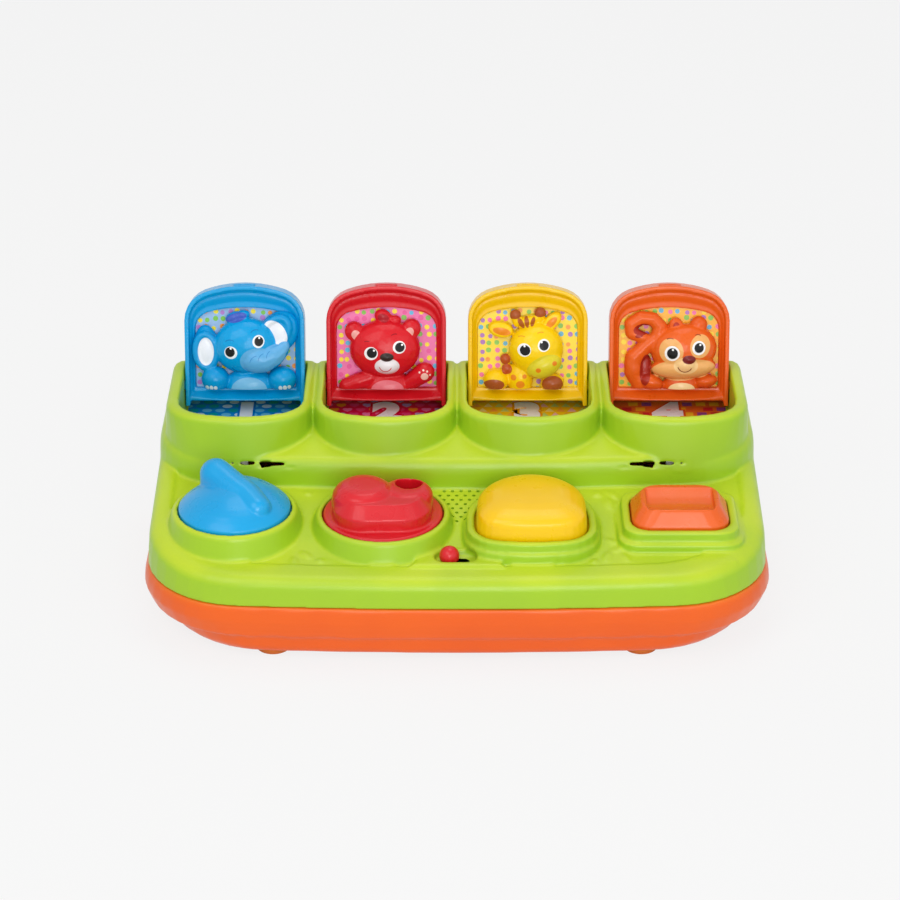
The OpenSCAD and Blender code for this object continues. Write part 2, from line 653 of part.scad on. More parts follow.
// ---- doors ----
panel_w0 = -hinge_drop;
panel_w1 = panel_w0 + panel_t;
rim_w1 = panel_w0 + door_depth;
window_bottom = -1.5;
window_top = door_reach - 11.5;
function window_plan(grow) =
    arch(window_w / 2 + grow, window_bottom - grow, window_top + grow, arch_r + 10, 9);
module door_shell() {
    difference() {
        prism(panel_w0, rim_w1, door_arch(0, -door_tail));
        prism(panel_w1 + 2.5, rim_w1 + cut, door_arch(-door_wall, -door_tail - cut));
        prism(panel_w1, rim_w1, window_plan(0));
        // the latch's nose faces this recess when the door is shut
        translate([-latch_w / 2 - 1.5, door_reach - 1.1, -2.6]) cube([latch_w + 3, 2, 5]);
        // the tail's back is round, so that it clears the well as the door swings
        difference() {
            translate([-door_w, -2 * door_tail, -2 * door_tail]) cube([2 * door_w, 2 * door_tail, 2 * door_tail]);
            rotate([0, 90, 0]) cylinder(r = tail_r, h = 2 * door_w, center = true);
        }
        // under the ledge the tail is cut back, so that the number on the well's floor can be seen
        bar_x(door_w / 2 - door_wall, [
            [ledge_foot, rim_w1 + 2 * cut],
            [ledge_foot - 3, panel_w0 - cut],
            [-2 * door_tail, panel_w0 - cut],
            [-2 * door_tail, rim_w1 + 2 * cut]
        ]);
    }
    // ledge under the picture, with a bowed front
    intersection() {
        bar_x(door_w / 2 - door_wall + 0.2, [
            [window_bottom, panel_w1 - cut],
            [ledge_foot - 1.9, panel_w1 - cut],
            [ledge_foot, rim_w1 + 1.2],
            [window_bottom, panel_w1 + 0.4]
        ]);
        translate([0, 0, rim_w1 + 1.2 - ledge_bow_r]) rotate([90, 0, 0])
            cylinder(r = ledge_bow_r, h = 60, center = true, $fn = 180);
    }
    for (s = [-1, 1]) {
        long = s < 0 ? stub_long : stub_short;
        translate([s * (door_w / 2 - door_wall / 2), 0, 0]) rotate([0, 90 * s, 0])
            cylinder(r = stub_r, h = door_wall / 2 + long);
    }
}
ledge_bow_r = 190;
ledge_foot = window_bottom - 5.4;
module door(n) color(door_colors[n - 1]) on_door(n) door_shell();
module picture_label(n) color(["lightblue", "pink", "khaki", "orange"][n - 1])
    on_door(n) prism(panel_w1, panel_w1 + label_t, window_plan(-0.2));
module number_label(n) color(door_colors[n - 1]) translate([door_x(n), 0, 0])
    prism(well_floor_z, well_floor_z + label_t, well_arch(-1, well_back_y - 1));
module door_spring(n) color("silver")
    translate([door_x(n) - spring_x - spring_room / 2 + 0.3, hinge_y, hinge_z])
    rotate([0, 90, 0]) coil(stub_r + 1.2, 0.25, 3, spring_room - 0.6);

// ---- animals: half relief on the picture, facing out of it ----
face = panel_w1 + label_t;
// a round dome that rises h out of the picture
module dome(x, y, r, h) translate([x, y, face]) rotate_extrude($fn = 48)
    polygon(concat([[0, 0]], [for (i = [0:6]) let (a = 15 * i) [r * cos(a), h * sin(a)]]));
// a limb: two domes and what lies between them
module limb(a, b, r, h) hull() for (p = [a, b]) translate([p[0], p[1], face]) {
    cylinder(r = r, h = h * 0.5, $fn = 24);
    cylinder(r = r * 0.5, h = h, $fn = 24);
}
// the ledge cuts an animal off at its foot
module on_ledge(n) on_door(n) difference() {
    union() children();
    translate([-window_w / 2, window_bottom + 0.2 - 20, panel_w1 - cut]) cube([window_w, 20, 30]);
}
module elephant() color("dodgerblue") on_ledge(1) {
    dome(-1, 21, 14, 12);
    dome(0, 3.5, 12, 9);
    for (s = [-1, 1]) dome(s * 15, 23, 7.6, 5);
    for (s = [-1, 1]) dome(s * 15, 4.5, 6, 8);
    limb([5, 15], [9, 16], 5, 12.4);
    limb([9, 16], [16, 22], 3, 12.4);
}
module bear() color("firebrick") on_ledge(2) {
    dome(-0.5, 21, 17, 12);
    dome(0, 3.5, 13, 8);
    dome(-14, 29.5, 4.6, 6);
    dome(11.5, 30.5, 4.6, 6);
    dome(-1, 16, 6, 13.4);
    limb([-16, 3], [-10, 4], 5, 8);
    limb([12, 5], [18, 10], 4.6, 8);
}
module giraffe() color("gold") on_ledge(3) {
    dome(0, 26, 11.5, 12);
    dome(2, 16.5, 10, 13);
    dome(-2, 6, 12, 9);
    limb([-8, 30], [-13, 32], 3, 6);
    limb([9, 29], [14, 31], 3, 6);
    for (x = [-3, 3]) limb([x, 33], [x, 36.4], 1.8, 8);
    for (s = [-1, 1]) dome(s * 13, 3.5, 5, 8);
}
module squirrel() color("darkorange") on_ledge(4) {
    dome(3, 22, 14.5, 12);
    dome(3, 5, 11, 9);
    dome(-4, 33, 4, 6);
    dome(10, 32, 4, 6);
    dome(3, 15.5, 6, 13.4);
    limb([-15, 8], [-17, 24], 5.5, 8);
    limb([-17, 24], [-10, 30], 5, 8);
    for (s = [-1, 1]) dome(3 + s * 10, 4, 4, 8);
}

// ---- controls ----
crown_z = collar_z + knob_rise;
tube_r = post_r + 2.6;
tube_z = post_step_z + 7;
flange_z = collar_z - lip_t - gap;
cam_r = tube_r + 4;
frame_half = cam_r + latch_travel + 2;
// the bore of a control that turns or slides on its post
module post_bore(top) translate([0, 0, tube_z - cut])
    cylinder(r = post_r + fit_gap, h = top - tube_z + cut);
function cap_points(r, z0, rise, inset) = let (
    big = (r * r + rise * rise) / (2 * rise),
    a1 = asin(r / big)
) [for (i = [0:8])
    let (a = a1 * (1 - i / 8)) [(big - inset) * sin(a), z0 + rise - big + (big - inset) * cos(a)]];
module peg(x, y, r, top) {
    translate([x, y, top - r]) sphere(r = r, $fn = 24);
    translate([x, y, collar_z + 3]) cylinder(r = r, h = 1, $fn = 24);
}
grip = [[-9, 10, 7.8, 20.5], [-2, 3.5, 8.2, 17.6], [6, -3.5, 7.8, 14.8], [11.5, -11, 7, 12.2]];
// the cam that draws the latch back: its radius grows in step with the turn
module cam(dir) translate([0, 0, latch_z - 1]) linear_extrude(latch_t + 2) polygon([
    for (i = [0:5:355]) let (
        ahead = latch_travel * i / turn_travel,
        behind = latch_travel * (180 - i) / (180 - turn_travel),
        grow = max(0, min(ahead, behind))
    ) (cam_r - gap + grow) * [cos(-90 - dir * i), sin(-90 - dir * i)]
]);
module twist_knob() color("deepskyblue") on_control(1) difference() {
    union() {
        translate([0, 0, knob_lift]) difference() {
            union() {
                rotate_extrude() polygon(concat(
                    [[0, flange_z - 2], [knob_r + 1.9, flange_z - 2]],
                    [[knob_r + 1.9, flange_z], [knob_r, flange_z]],
                    cap_points(knob_r, collar_z + 1, knob_rise - 1, 0)
                ));
                for (i = [0:2]) hull() for (k = [i, i + 1])
                    peg(grip[k][0], grip[k][1], grip[k][2], collar_z + grip[k][3]);
            }
            rotate_extrude() polygon(concat(
                [[0, flange_z - 2 - cut], [knob_r - 2.2, flange_z - 2 - cut]],
                cap_points(knob_r, collar_z + 1, knob_rise - 1, 2.2)
            ));
        }
        translate([0, 0, tube_z]) cylinder(r = tube_r, h = crown_z + knob_lift - 2 - tube_z);
        cam(1);
    }
    post_bore(post_top_z + 0.6);
}
module dial() color("crimson") on_control(2) difference() {
    union() {
        rotate_extrude() polygon([
            [tube_r - 1, collar_z - 4.6], [dial_r + 1.8, collar_z - 4.6], [dial_r + 1.8, flange_z],
            [dial_r, flange_z], [dial_r, collar_z - 0.8], [dial_r - 0.8, collar_z], [tube_r - 1, collar_z]
        ]);
        rounded_lug(-9, -1, 15.2, 16.5, 8);
        rounded_lug(11.5, 1, 12.4, 14, 5);
        hull() for (p = [[-8, -6], [8, -5.5]]) translate([p[0], p[1], collar_z - 1]) {
            cylinder(r = 15.4, h = 7, $fn = 32);
            cylinder(r = 10.5, h = 13, $fn = 32);
        }
        translate([0, 0, tube_z]) cylinder(r = tube_r, h = collar_z - tube_z);
        cam(-1);
    }
    post_bore(post_top_z + 0.6);
    translate([12.3, 5, collar_z + 1]) cylinder(r = finger_r, h = 20);
}
// an upright lobe with a rounded top edge, exact all round
module rounded_lug(x, y, r, h, round_r) translate([x, y, collar_z - 1]) rotate_extrude() polygon(concat(
    [[0, 0], [r, 0]],
    [for (i = [0:4]) let (a = 22.5 * i) [r - round_r + round_r * cos(a), h - round_r + round_r * sin(a)]],
    [[0, h]]
));
// the wedge that draws the latch back as the control goes down
wedge_rise = latch_travel / press_travel;
module wedge() bar_x(6, [
    [-tube_r + 1, latch_z - 1],
    [-cam_r + gap, latch_z - 1],
    [-cam_r + gap, latch_z + latch_t],
    [-cam_r + gap - (press_travel + 0.5) * wedge_rise, latch_z + latch_t + press_travel + 0.5],
    [-tube_r + 1, latch_z + latch_t + press_travel + 0.5]
]);
button_dome = 7.6;
module dome_slice(z, scale_by) prism(z, z + 0.1, button_plan(-0.8) * scale_by);
module push_button() color("gold") on_control(3) difference() {
    union() {
        difference() {
            union() {
                hull() {
                    prism(collar_z - 5, collar_z - 4, button_plan(0));
                    for (i = [0:6]) let (a = 90 * i / 7)
                        dome_slice(collar_z + 5.5 + button_dome * sin(a), pow(cos(a), 0.7));
                    translate([0, 0, collar_z + 5.5 + button_dome]) cylinder(r = 3, h = 0.1, $fn = 24);
                }
                prism(collar_z - 5, flange_z, button_plan(1.8));
            }
            prism(collar_z - 5 - cut, collar_z + 5.5, button_plan(-3));
        }
        translate([0, 0, tube_z]) cylinder(r = tube_r, h = collar_z + 6 - tube_z);
        wedge();
    }
    post_bore(post_top_z + press_travel + 0.6);
}
module push_bar() color("orangered") on_control(4) difference() {
    union() {
        difference() {
            union() {
                hull() {
                    prism(collar_z - 5, collar_z + 0.5, bar_plan(0));
                    prism(collar_z + 1.5, collar_z + 2, bar_plan(-2.6));
                    prism(collar_z + 7, collar_z + 7.5, bar_plan(-4.4));
                }
                prism(collar_z - 5, flange_z, bar_plan(1.8));
            }
            prism(collar_z - 5 - cut, collar_z + 1.8, bar_plan(-4.4));
            translate([0, -1, collar_z + 4.2 + scoop_r]) rotate([0, 90, 0])
                cylinder(r = scoop_r, h = bar_w - 14, center = true);
        }
        translate([0, 0, tube_z]) cylinder(r = tube_r, h = collar_z + 3 - tube_z);
        wedge();
    }
    post_bore(post_top_z + press_travel + 0.6);
}
slider_x = slot_x - slider_travel / 2;
module mode_slider() color("crimson") translate([slider_x, mode_y, 0]) difference() {
    union() {
        translate([0, 0, platform_z]) sphere(d = slider_d);
        translate([0, 0, switch_top_z - 3.6]) cylinder(r = 1.5, h = platform_z - switch_top_z + 4);
    }
    translate([-slider_d, -slider_d, platform_z - 2.7 - slider_d]) difference() {
        cube([2 * slider_d, 2 * slider_d, slider_d]);
        translate([slider_d, slider_d, -cut]) cylinder(r = 1.5, h = slider_d + 2 * cut);
    }
}
module return_spring(n) color("silver") on_control(n) translate([0, 0, post_step_z + 0.2])
    coil(post_r + 1.5, 0.4, 3, tube_z - post_step_z - 0.4);

// ---- latches ----
leg_y1 = nose_face_y - 0.2;
latch_spring_r = 2.6;
latch_wire_r = 0.3;
// the housing's front bows back towards the sides, so the outer springs start further back
function front_bow(x) = front_bow_r - sqrt(pow(front_bow_r, 2) - pow(x, 2));
function latch_spring_y(n) = deck_rear_y + wall
    + max(1.7, 0.15 + front_bow(abs(door_x(n)) + latch_spring_r + latch_wire_r));
latch_spring_z = step_z - 9;
module latch(n) color("ivory") translate([door_x(n), 0, 0]) {
    difference() {
        translate([-frame_half - 1, control_y - cam_r - 3.2, latch_z])
            cube([2 * frame_half + 2, 2 * cam_r + latch_travel + 8, latch_t]);
        translate([-frame_half + 1.6, control_y - cam_r, latch_z - cut])
            cube([2 * frame_half - 3.2, 2 * cam_r + latch_travel + 1.6, latch_t + 2 * cut]);
    }
    translate([-latch_w / 2, control_y + cam_r + latch_travel + 3, latch_z])
        cube([latch_w, leg_y1 - control_y - cam_r - latch_travel - 3, latch_t]);
    translate([-latch_w / 2, leg_y1 - leg_t, latch_z]) cube([latch_w, leg_t, nose_z + 1.5 - latch_z]);
}
module latch_spring(n) color("silver")
    translate([door_x(n), latch_spring_y(n), latch_spring_z]) rotate([-90, 0, 0])
    coil(latch_spring_r, latch_wire_r, 4, leg_y1 - leg_t - 0.2 - latch_spring_y(n));

echo("least gap between turns", min(
    coil_gap(stub_r + 1.2, 0.25, 3, spring_room - 1.1),
    coil_gap(post_r + 1.5, 0.4, 3, tube_z - post_step_z - 1.2)
));

placed() lower_casing();
placed() upper_casing();
placed() feet();
placed() case_screws();
placed() battery_cover();
placed() battery_cover_screw();
placed() batteries();
placed() battery_contacts();
placed() circuit_board();
placed() board_components();
placed() board_screws();
placed() touch_switches();
placed() mode_switch();
placed() speaker_frame();
placed() speaker_cone();
placed() speaker_magnet();
placed() speaker_screws();
placed() elephant();
placed() bear();
placed() giraffe();
placed() squirrel();
placed() twist_knob();
placed() dial();
placed() push_button();
placed() push_bar();
placed() mode_slider();
for (n = [1:4]) {
    placed() door(n);
    placed() picture_label(n);
    placed() number_label(n);
    placed() door_spring(n);
    placed() return_spring(n);
    placed() latch(n);
    placed() latch_spring(n);
}
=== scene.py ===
# Pop up animal toy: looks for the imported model. Metres, X right, Y away from the child, Z up.
import bmesh
import bpy
import math
import random
from mathutils import Matrix, Vector


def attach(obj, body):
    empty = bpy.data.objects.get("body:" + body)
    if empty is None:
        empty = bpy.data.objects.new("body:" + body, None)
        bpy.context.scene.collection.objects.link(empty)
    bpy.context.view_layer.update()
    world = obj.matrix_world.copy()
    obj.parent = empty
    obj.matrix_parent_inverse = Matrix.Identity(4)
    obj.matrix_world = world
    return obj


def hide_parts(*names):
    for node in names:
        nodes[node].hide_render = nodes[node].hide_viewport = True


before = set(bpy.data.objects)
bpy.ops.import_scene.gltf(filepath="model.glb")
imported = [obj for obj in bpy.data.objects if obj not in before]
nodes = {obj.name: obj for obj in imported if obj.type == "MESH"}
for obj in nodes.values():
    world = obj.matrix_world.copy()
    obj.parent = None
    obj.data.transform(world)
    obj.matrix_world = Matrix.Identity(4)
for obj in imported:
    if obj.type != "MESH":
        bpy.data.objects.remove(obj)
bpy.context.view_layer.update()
millimetre = 0.001
scene = bpy.context.scene
toy = {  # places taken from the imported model, in millimetres and degrees
    "pitch": 70.5, "hinge": (61.74, 77), "lean": 15, "deckFront": (-66.76, 44), "tilt": 7, "wellFloor": 63.4,
}
print("frame loaded:", len(nodes), "nodes")


# ---------- small helpers ----------
def srgb(red, green, blue):
    # a colour as a paint chart gives it, 0 to 255, made linear
    shares = (red / 255, green / 255, blue / 255)
    return tuple((c / 12.92 if c <= 0.04045 else ((c + 0.055) / 1.055) ** 2.4) for c in shares) + (1.0,)


def fromBmesh(name, bm):
    mesh = bpy.data.meshes.new(name)
    bm.to_mesh(mesh)
    bm.free()
    piece = bpy.data.objects.new(name, mesh)
    scene.collection.objects.link(piece)
    return piece


def fromNode(nodeName):
    # a merged copy of a CAD node, to be dressed
    bm = bmesh.new()
    bm.from_mesh(nodes[nodeName].data)
    bmesh.ops.remove_doubles(bm, verts=bm.verts, dist=2e-6)
    return bm


def bake(piece):
    # the piece's modifiers become its mesh
    depsgraph = bpy.context.evaluated_depsgraph_get()
    baked = bpy.data.meshes.new_from_object(piece.evaluated_get(depsgraph))
    old = piece.data
    piece.modifiers.clear()
    piece.data = baked
    bpy.data.meshes.remove(old)
    return piece


def shadeSmooth(piece, angle=180):
    for face in piece.data.polygons:
        face.use_smooth = True
    if angle < 180:
        bm = bmesh.new()
        bm.from_mesh(piece.data)
        for edge in bm.edges:
            edge.smooth = len(edge.link_faces) == 2 and edge.calc_face_angle(0) < math.radians(angle)
        bm.to_mesh(piece.data)
        bm.free()
    return piece


def soften(name, bm, voxel, rounds, budget=190000, pull=0.5):
    # one moulded skin over overlapping forms, its edges eased as a mould's are
    piece = fromBmesh(name, bm)
    skin = piece.modifiers.new("skin", "REMESH")
    skin.mode = "VOXEL"
    skin.voxel_size = voxel * millimetre
    ease = piece.modifiers.new("ease", "SMOOTH")
    ease.factor = pull
    ease.iterations = rounds
    bake(piece)
    triangles = sum(len(face.vertices) - 2 for face in piece.data.polygons)
    if triangles > budget:
        thin = piece.modifiers.new("thin", "DECIMATE")
        thin.ratio = budget / triangles
        bake(piece)
    return shadeSmooth(piece)


def boolean(piece, tool, operation):
    step = piece.modifiers.new(operation, "BOOLEAN")
    step.operation = operation
    step.solver = "MANIFOLD"
    step.object = tool
    bake(piece)
    toolMesh = tool.data
    bpy.data.objects.remove(tool)
    bpy.data.meshes.remove(toolMesh)
    return piece


def dress(piece, body, slotName, material, *replaced):
    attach(piece, body)
    if replaced:
        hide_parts(*replaced)
    if isinstance(material, bpy.types.Material):
        piece.data.materials.clear()
        piece.data.materials.append(material)
    return piece


def ellipsoid(bm, centre, radii, turn=0, detail=3):
    matrix = Matrix.Translation(centre) @ Matrix.Rotation(math.radians(turn), 4, "Z") @ Matrix.Diagonal((*radii, 1))
    return bmesh.ops.create_icosphere(bm, subdivisions=detail, radius=1, matrix=matrix)["verts"]


def limb(bm, stations, detail=2):
    # a row of balls close enough to merge into one tube; a station is (x, y, z, radius)
    for first, second in zip(stations, stations[1:]):
        a, b = Vector(first), Vector(second)
        steps = max(2, math.ceil((b - a).xyz.length / (0.22 * min(a.w, b.w))))
        for k in range(steps + 1):
            at = a.lerp(b, k / steps)
            bmesh.ops.create_icosphere(bm, subdivisions=detail, radius=at.w, matrix=Matrix.Translation(at.xyz))


def ovalRing(bm, centre, across, along, thick, turn=0):
    # a raised rim round an oval: the edge of an ear or of a hole
    lean = Matrix.Rotation(math.radians(turn), 3, "Z")
    stations = []
    for k in range(17):
        angle = math.tau * k / 16
        spot = Vector(centre) + lean @ Vector((across * math.cos(angle), along * math.sin(angle), 0))
        stations.append((*spot, thick))
    limb(bm, stations)


def arcPoints(centreX, centreY, radius, start, stop, count):
    return [(centreX + radius * math.cos(math.radians(start + (stop - start) * k / count)),
             centreY + radius * math.sin(math.radians(start + (stop - start) * k / count))) for k in range(count + 1)]


def archOutline(half, bottom, top, radius, cornerRadius):
    # straight sides under a shallow arch with round corners, the form that doors and wells share
    middle = top - radius
    cornerY = middle + math.sqrt((radius - cornerRadius) ** 2 - (half - cornerRadius) ** 2)
    lean = math.degrees(math.acos((half - cornerRadius) / (radius - cornerRadius)))
    return ([(half, bottom)] + arcPoints(half - cornerRadius, cornerY, cornerRadius, 0, lean, 6)
            + arcPoints(0, middle, radius, lean, 180 - lean, 14)[1:-1]
            + arcPoints(cornerRadius - half, cornerY, cornerRadius, 180 - lean, 180, 6) + [(-half, bottom)])


def outlineLoop(bm, outline, height):
    verts = [bm.verts.new((x, y, height)) for x, y in outline]
    return [bm.edges.new((verts[k - 1], verts[k])) for k in range(len(verts))]


# ---------- camera, floor and light ----------
view = {
    "elevation": 27.5, "distance": 1.40, "target": (0, 0.00314, 0.060), "lens": 115.4,
    "shift": (-0.0078, 0.0211), "paper": srgb(248, 248, 248),
}
elevation = math.radians(view["elevation"])
camera = bpy.data.objects.new("camera", bpy.data.cameras.new("camera"))
scene.collection.objects.link(camera)
camera.location = Vector(view["target"]) + view["distance"] * Vector((0, -math.cos(elevation), math.sin(elevation)))
camera.rotation_euler = (math.pi / 2 - elevation, 0, 0)
camera.data.lens = view["lens"]
camera.data.shift_x, camera.data.shift_y = view["shift"]
camera.data.clip_start, camera.data.clip_end = 0.05, 20
scene.camera = camera
scene.view_settings.view_transform = "Standard"


def paperShader(tree, output, soft, keep):
    # pale paper: mostly even for the camera and in reflections, with a share of real light for the shadow
    ray = tree.nodes.new("ShaderNodeLightPath")
    seen = tree.nodes.new("ShaderNodeMath")
    seen.operation = "MAXIMUM"
    tree.links.new(ray.outputs["Is Camera Ray"], seen.inputs[0])
    tree.links.new(ray.outputs["Is Glossy Ray"], seen.inputs[1])
    share = tree.nodes.new("ShaderNodeMath")
    share.operation = "MULTIPLY"
    share.inputs[1].default_value = 1 - keep
    tree.links.new(seen.outputs[0], share.inputs[0])
    even = tree.nodes.new("ShaderNodeEmission")
    even.inputs["Color"].default_value = view["paper"]
    mix = tree.nodes.new("ShaderNodeMixShader")
    tree.links.new(share.outputs[0], mix.inputs[0])
    tree.links.new(soft.outputs[0], mix.inputs[1])
    tree.links.new(even.outputs[0], mix.inputs[2])
    tree.links.new(mix.outputs[0], output.inputs["Surface"])


floorBm = bmesh.new()
bmesh.ops.create_grid(floorBm, x_segments=1, y_segments=1, size=6)
floor = fromBmesh("floor", floorBm)
paper = bpy.data.materials.new("palePaper")
paper.use_nodes = True
paper.node_tree.nodes["Principled BSDF"].inputs["Base Color"].default_value = srgb(238, 238, 238)
paper.node_tree.nodes["Principled BSDF"].inputs["Roughness"].default_value = 0.9
paper.node_tree.nodes["Principled BSDF"].inputs["Specular IOR Level"].default_value = 0.1
paperShader(paper.node_tree, paper.node_tree.nodes["Material Output"], paper.node_tree.nodes["Principled BSDF"], 0.12)
floor.data.materials.append(paper)

world = bpy.data.worlds.new("studio")
world.use_nodes = True
scene.world = world
world.node_tree.nodes["Background"].inputs["Color"].default_value = (1, 1, 1, 1)
world.node_tree.nodes["Background"].inputs["Strength"].default_value = 0.5
paperShader(world.node_tree, world.node_tree.nodes["World Output"], world.node_tree.nodes["Background"], 0)

lamps = {
    "key": {"at": (-0.55, -0.75, 1.15), "size": 0.9, "power": 4.3},
    "fill": {"at": (0.85, -0.85, 0.75), "size": 1.1, "power": 2.0},
    "front": {"at": (0.1, -1.25, 0.6), "size": 0.7, "power": 6.4},
    "top": {"at": (0.05, 0.25, 1.3), "size": 0.8, "power": 2.8},
}
for lampName, lamp in lamps.items():
    light = bpy.data.objects.new(lampName, bpy.data.lights.new(lampName, "AREA"))
    light.data.shape = "DISK"
    light.data.size = lamp["size"]
    light.data.energy = lamp["power"]
    light.location = lamp["at"]
    light.rotation_euler = (Vector((0, 0, 0.05)) - Vector(lamp["at"])).to_track_quat("-Z", "Y").to_euler()
    scene.collection.objects.link(light)
print("camera, floor and light ready")


# ---------- node groups ----------
def newGroup(name, inputs, outputs):
    tree = bpy.data.node_groups.new(name, "ShaderNodeTree")
    for direction, sockets in (("INPUT", inputs), ("OUTPUT", outputs)):
        for socketName, kind, value in sockets:
            socket = tree.interface.new_socket(name=socketName, in_out=direction, socket_type="NodeSocket" + kind)
            if value is not None:
                socket.default_value = value
    return tree, tree.nodes.new("NodeGroupInput"), tree.nodes.new("NodeGroupOutput")


def math2(tree, operation, first, second=None, clamp=False):
    node = tree.nodes.new("ShaderNodeMath")
    node.operation = operation
    node.use_clamp = clamp
    for socket, value in zip(node.inputs, (first, second)):
        if isinstance(value, bpy.types.NodeSocket):
            tree.links.new(value, socket)
        elif value is not None:
            socket.default_value = value
    return node.outputs[0]


def mixColour(tree, factor, below, above, blend="MIX"):
    node = tree.nodes.new("ShaderNodeMix")
    node.data_type = "RGBA"
    node.blend_type = blend
    for socket, value in ((node.inputs[0], factor), (node.inputs[6], below), (node.inputs[7], above)):
        if isinstance(value, bpy.types.NodeSocket):
            tree.links.new(value, socket)
        else:
            socket.default_value = value
    return node.outputs[2]


def noise(tree, vector, scale, detail=2.0):
    node = tree.nodes.new("ShaderNodeTexNoise")
    node.inputs["Detail"].default_value = detail
    if isinstance(scale, bpy.types.NodeSocket):
        tree.links.new(scale, node.inputs["Scale"])
    else:
        node.inputs["Scale"].default_value = scale
    tree.links.new(vector, node.inputs["Vector"])
    return node.outputs[0]


def mapRange(tree, value, low, high, toLow=0.0, toHigh=1.0, smooth=False):
    node = tree.nodes.new("ShaderNodeMapRange")
    node.interpolation_type = "SMOOTHSTEP" if smooth else "LINEAR"
    settings = {"Value": value, "From Min": low, "From Max": high, "To Min": toLow, "To Max": toHigh}
    for socketName, setting in settings.items():
        if isinstance(setting, bpy.types.NodeSocket):
            tree.links.new(setting, node.inputs[socketName])
        else:
            node.inputs[socketName].default_value = setting
    return node.outputs[0]


def makeMouldedPlastic():
    # coloured plastic out of a mould: slow drift of the colour, fine grain, uneven gloss
    tree, given, out = newGroup("mouldedPlastic", [
        ("Colour", "Color", (0.5, 0.5, 0.5, 1)), ("Tint", "Color", (0.5, 0.5, 0.5, 1)), ("Share", "Float", 0.3),
        ("Grain Scale", "Float", 2200.0), ("Grain Height", "Float", 0.00002), ("Roughness", "Float", 0.3)],
        [("Colour", "Color", None), ("Roughness", "Float", None), ("Normal", "Vector", None)])
    place = tree.nodes.new("ShaderNodeTexCoord").outputs["Object"]
    drift = mapRange(tree, noise(tree, place, 28.0, 1.5), 0.35, 0.65, 0.0, 1.0, True)
    speck = mapRange(tree, noise(tree, place, 900.0, 3.0), 0.3, 0.7, 0.0, 0.25)
    share = math2(tree, "MULTIPLY", math2(tree, "ADD", drift, speck), given.outputs["Share"], clamp=True)
    tree.links.new(mixColour(tree, share, given.outputs["Colour"], given.outputs["Tint"]), out.inputs["Colour"])
    gloss = mapRange(tree, noise(tree, place, 120.0, 3.0), 0.3, 0.7, -0.05, 0.06)
    tree.links.new(math2(tree, "ADD", given.outputs["Roughness"], gloss, clamp=True), out.inputs["Roughness"])
    bump = tree.nodes.new("ShaderNodeBump")
    bump.inputs["Strength"].default_value = 0.35
    tree.links.new(given.outputs["Grain Height"], bump.inputs["Distance"])
    tree.links.new(noise(tree, place, given.outputs["Grain Scale"], 2.0), bump.inputs["Height"])
    tree.links.new(bump.outputs[0], out.inputs["Normal"])
    return tree


def makePaintedOval():
    # paint inside an oval of the figure's own picture plane, in millimetres
    tree, given, out = newGroup("paintedOval", [
        ("Vector", "Vector", None), ("Below", "Color", None), ("Paint", "Color", None), ("Centre", "Vector", None),
        ("Radii", "Vector", (1, 1, 1)), ("Turn", "Float", 0.0), ("Soft", "Float", 0.12)], [("Colour", "Color", None)])
    shift = tree.nodes.new("ShaderNodeVectorMath")
    shift.operation = "SUBTRACT"
    tree.links.new(given.outputs["Vector"], shift.inputs[0])
    tree.links.new(given.outputs["Centre"], shift.inputs[1])
    turn = tree.nodes.new("ShaderNodeVectorRotate")
    turn.rotation_type = "Z_AXIS"
    tree.links.new(shift.outputs[0], turn.inputs["Vector"])
    tree.links.new(math2(tree, "MULTIPLY", given.outputs["Turn"], -math.pi / 180), turn.inputs["Angle"])
    flat = tree.nodes.new("ShaderNodeVectorMath")
    flat.operation = "MULTIPLY"
    flat.inputs[1].default_value = (1, 1, 0)
    tree.links.new(turn.outputs[0], flat.inputs[0])
    scaled = tree.nodes.new("ShaderNodeVectorMath")
    scaled.operation = "DIVIDE"
    tree.links.new(flat.outputs[0], scaled.inputs[0])
    tree.links.new(given.outputs["Radii"], scaled.inputs[1])
    length = tree.nodes.new("ShaderNodeVectorMath")
    length.operation = "LENGTH"
    tree.links.new(scaled.outputs[0], length.inputs[0])
    edge = math2(tree, "SUBTRACT", 1.0, given.outputs["Soft"])
    mask = mapRange(tree, length.outputs["Value"], edge, 1.0, 1.0, 0.0, True)
    tree.links.new(mixColour(tree, mask, given.outputs["Below"], given.outputs["Paint"]), out.inputs["Colour"])
    return tree


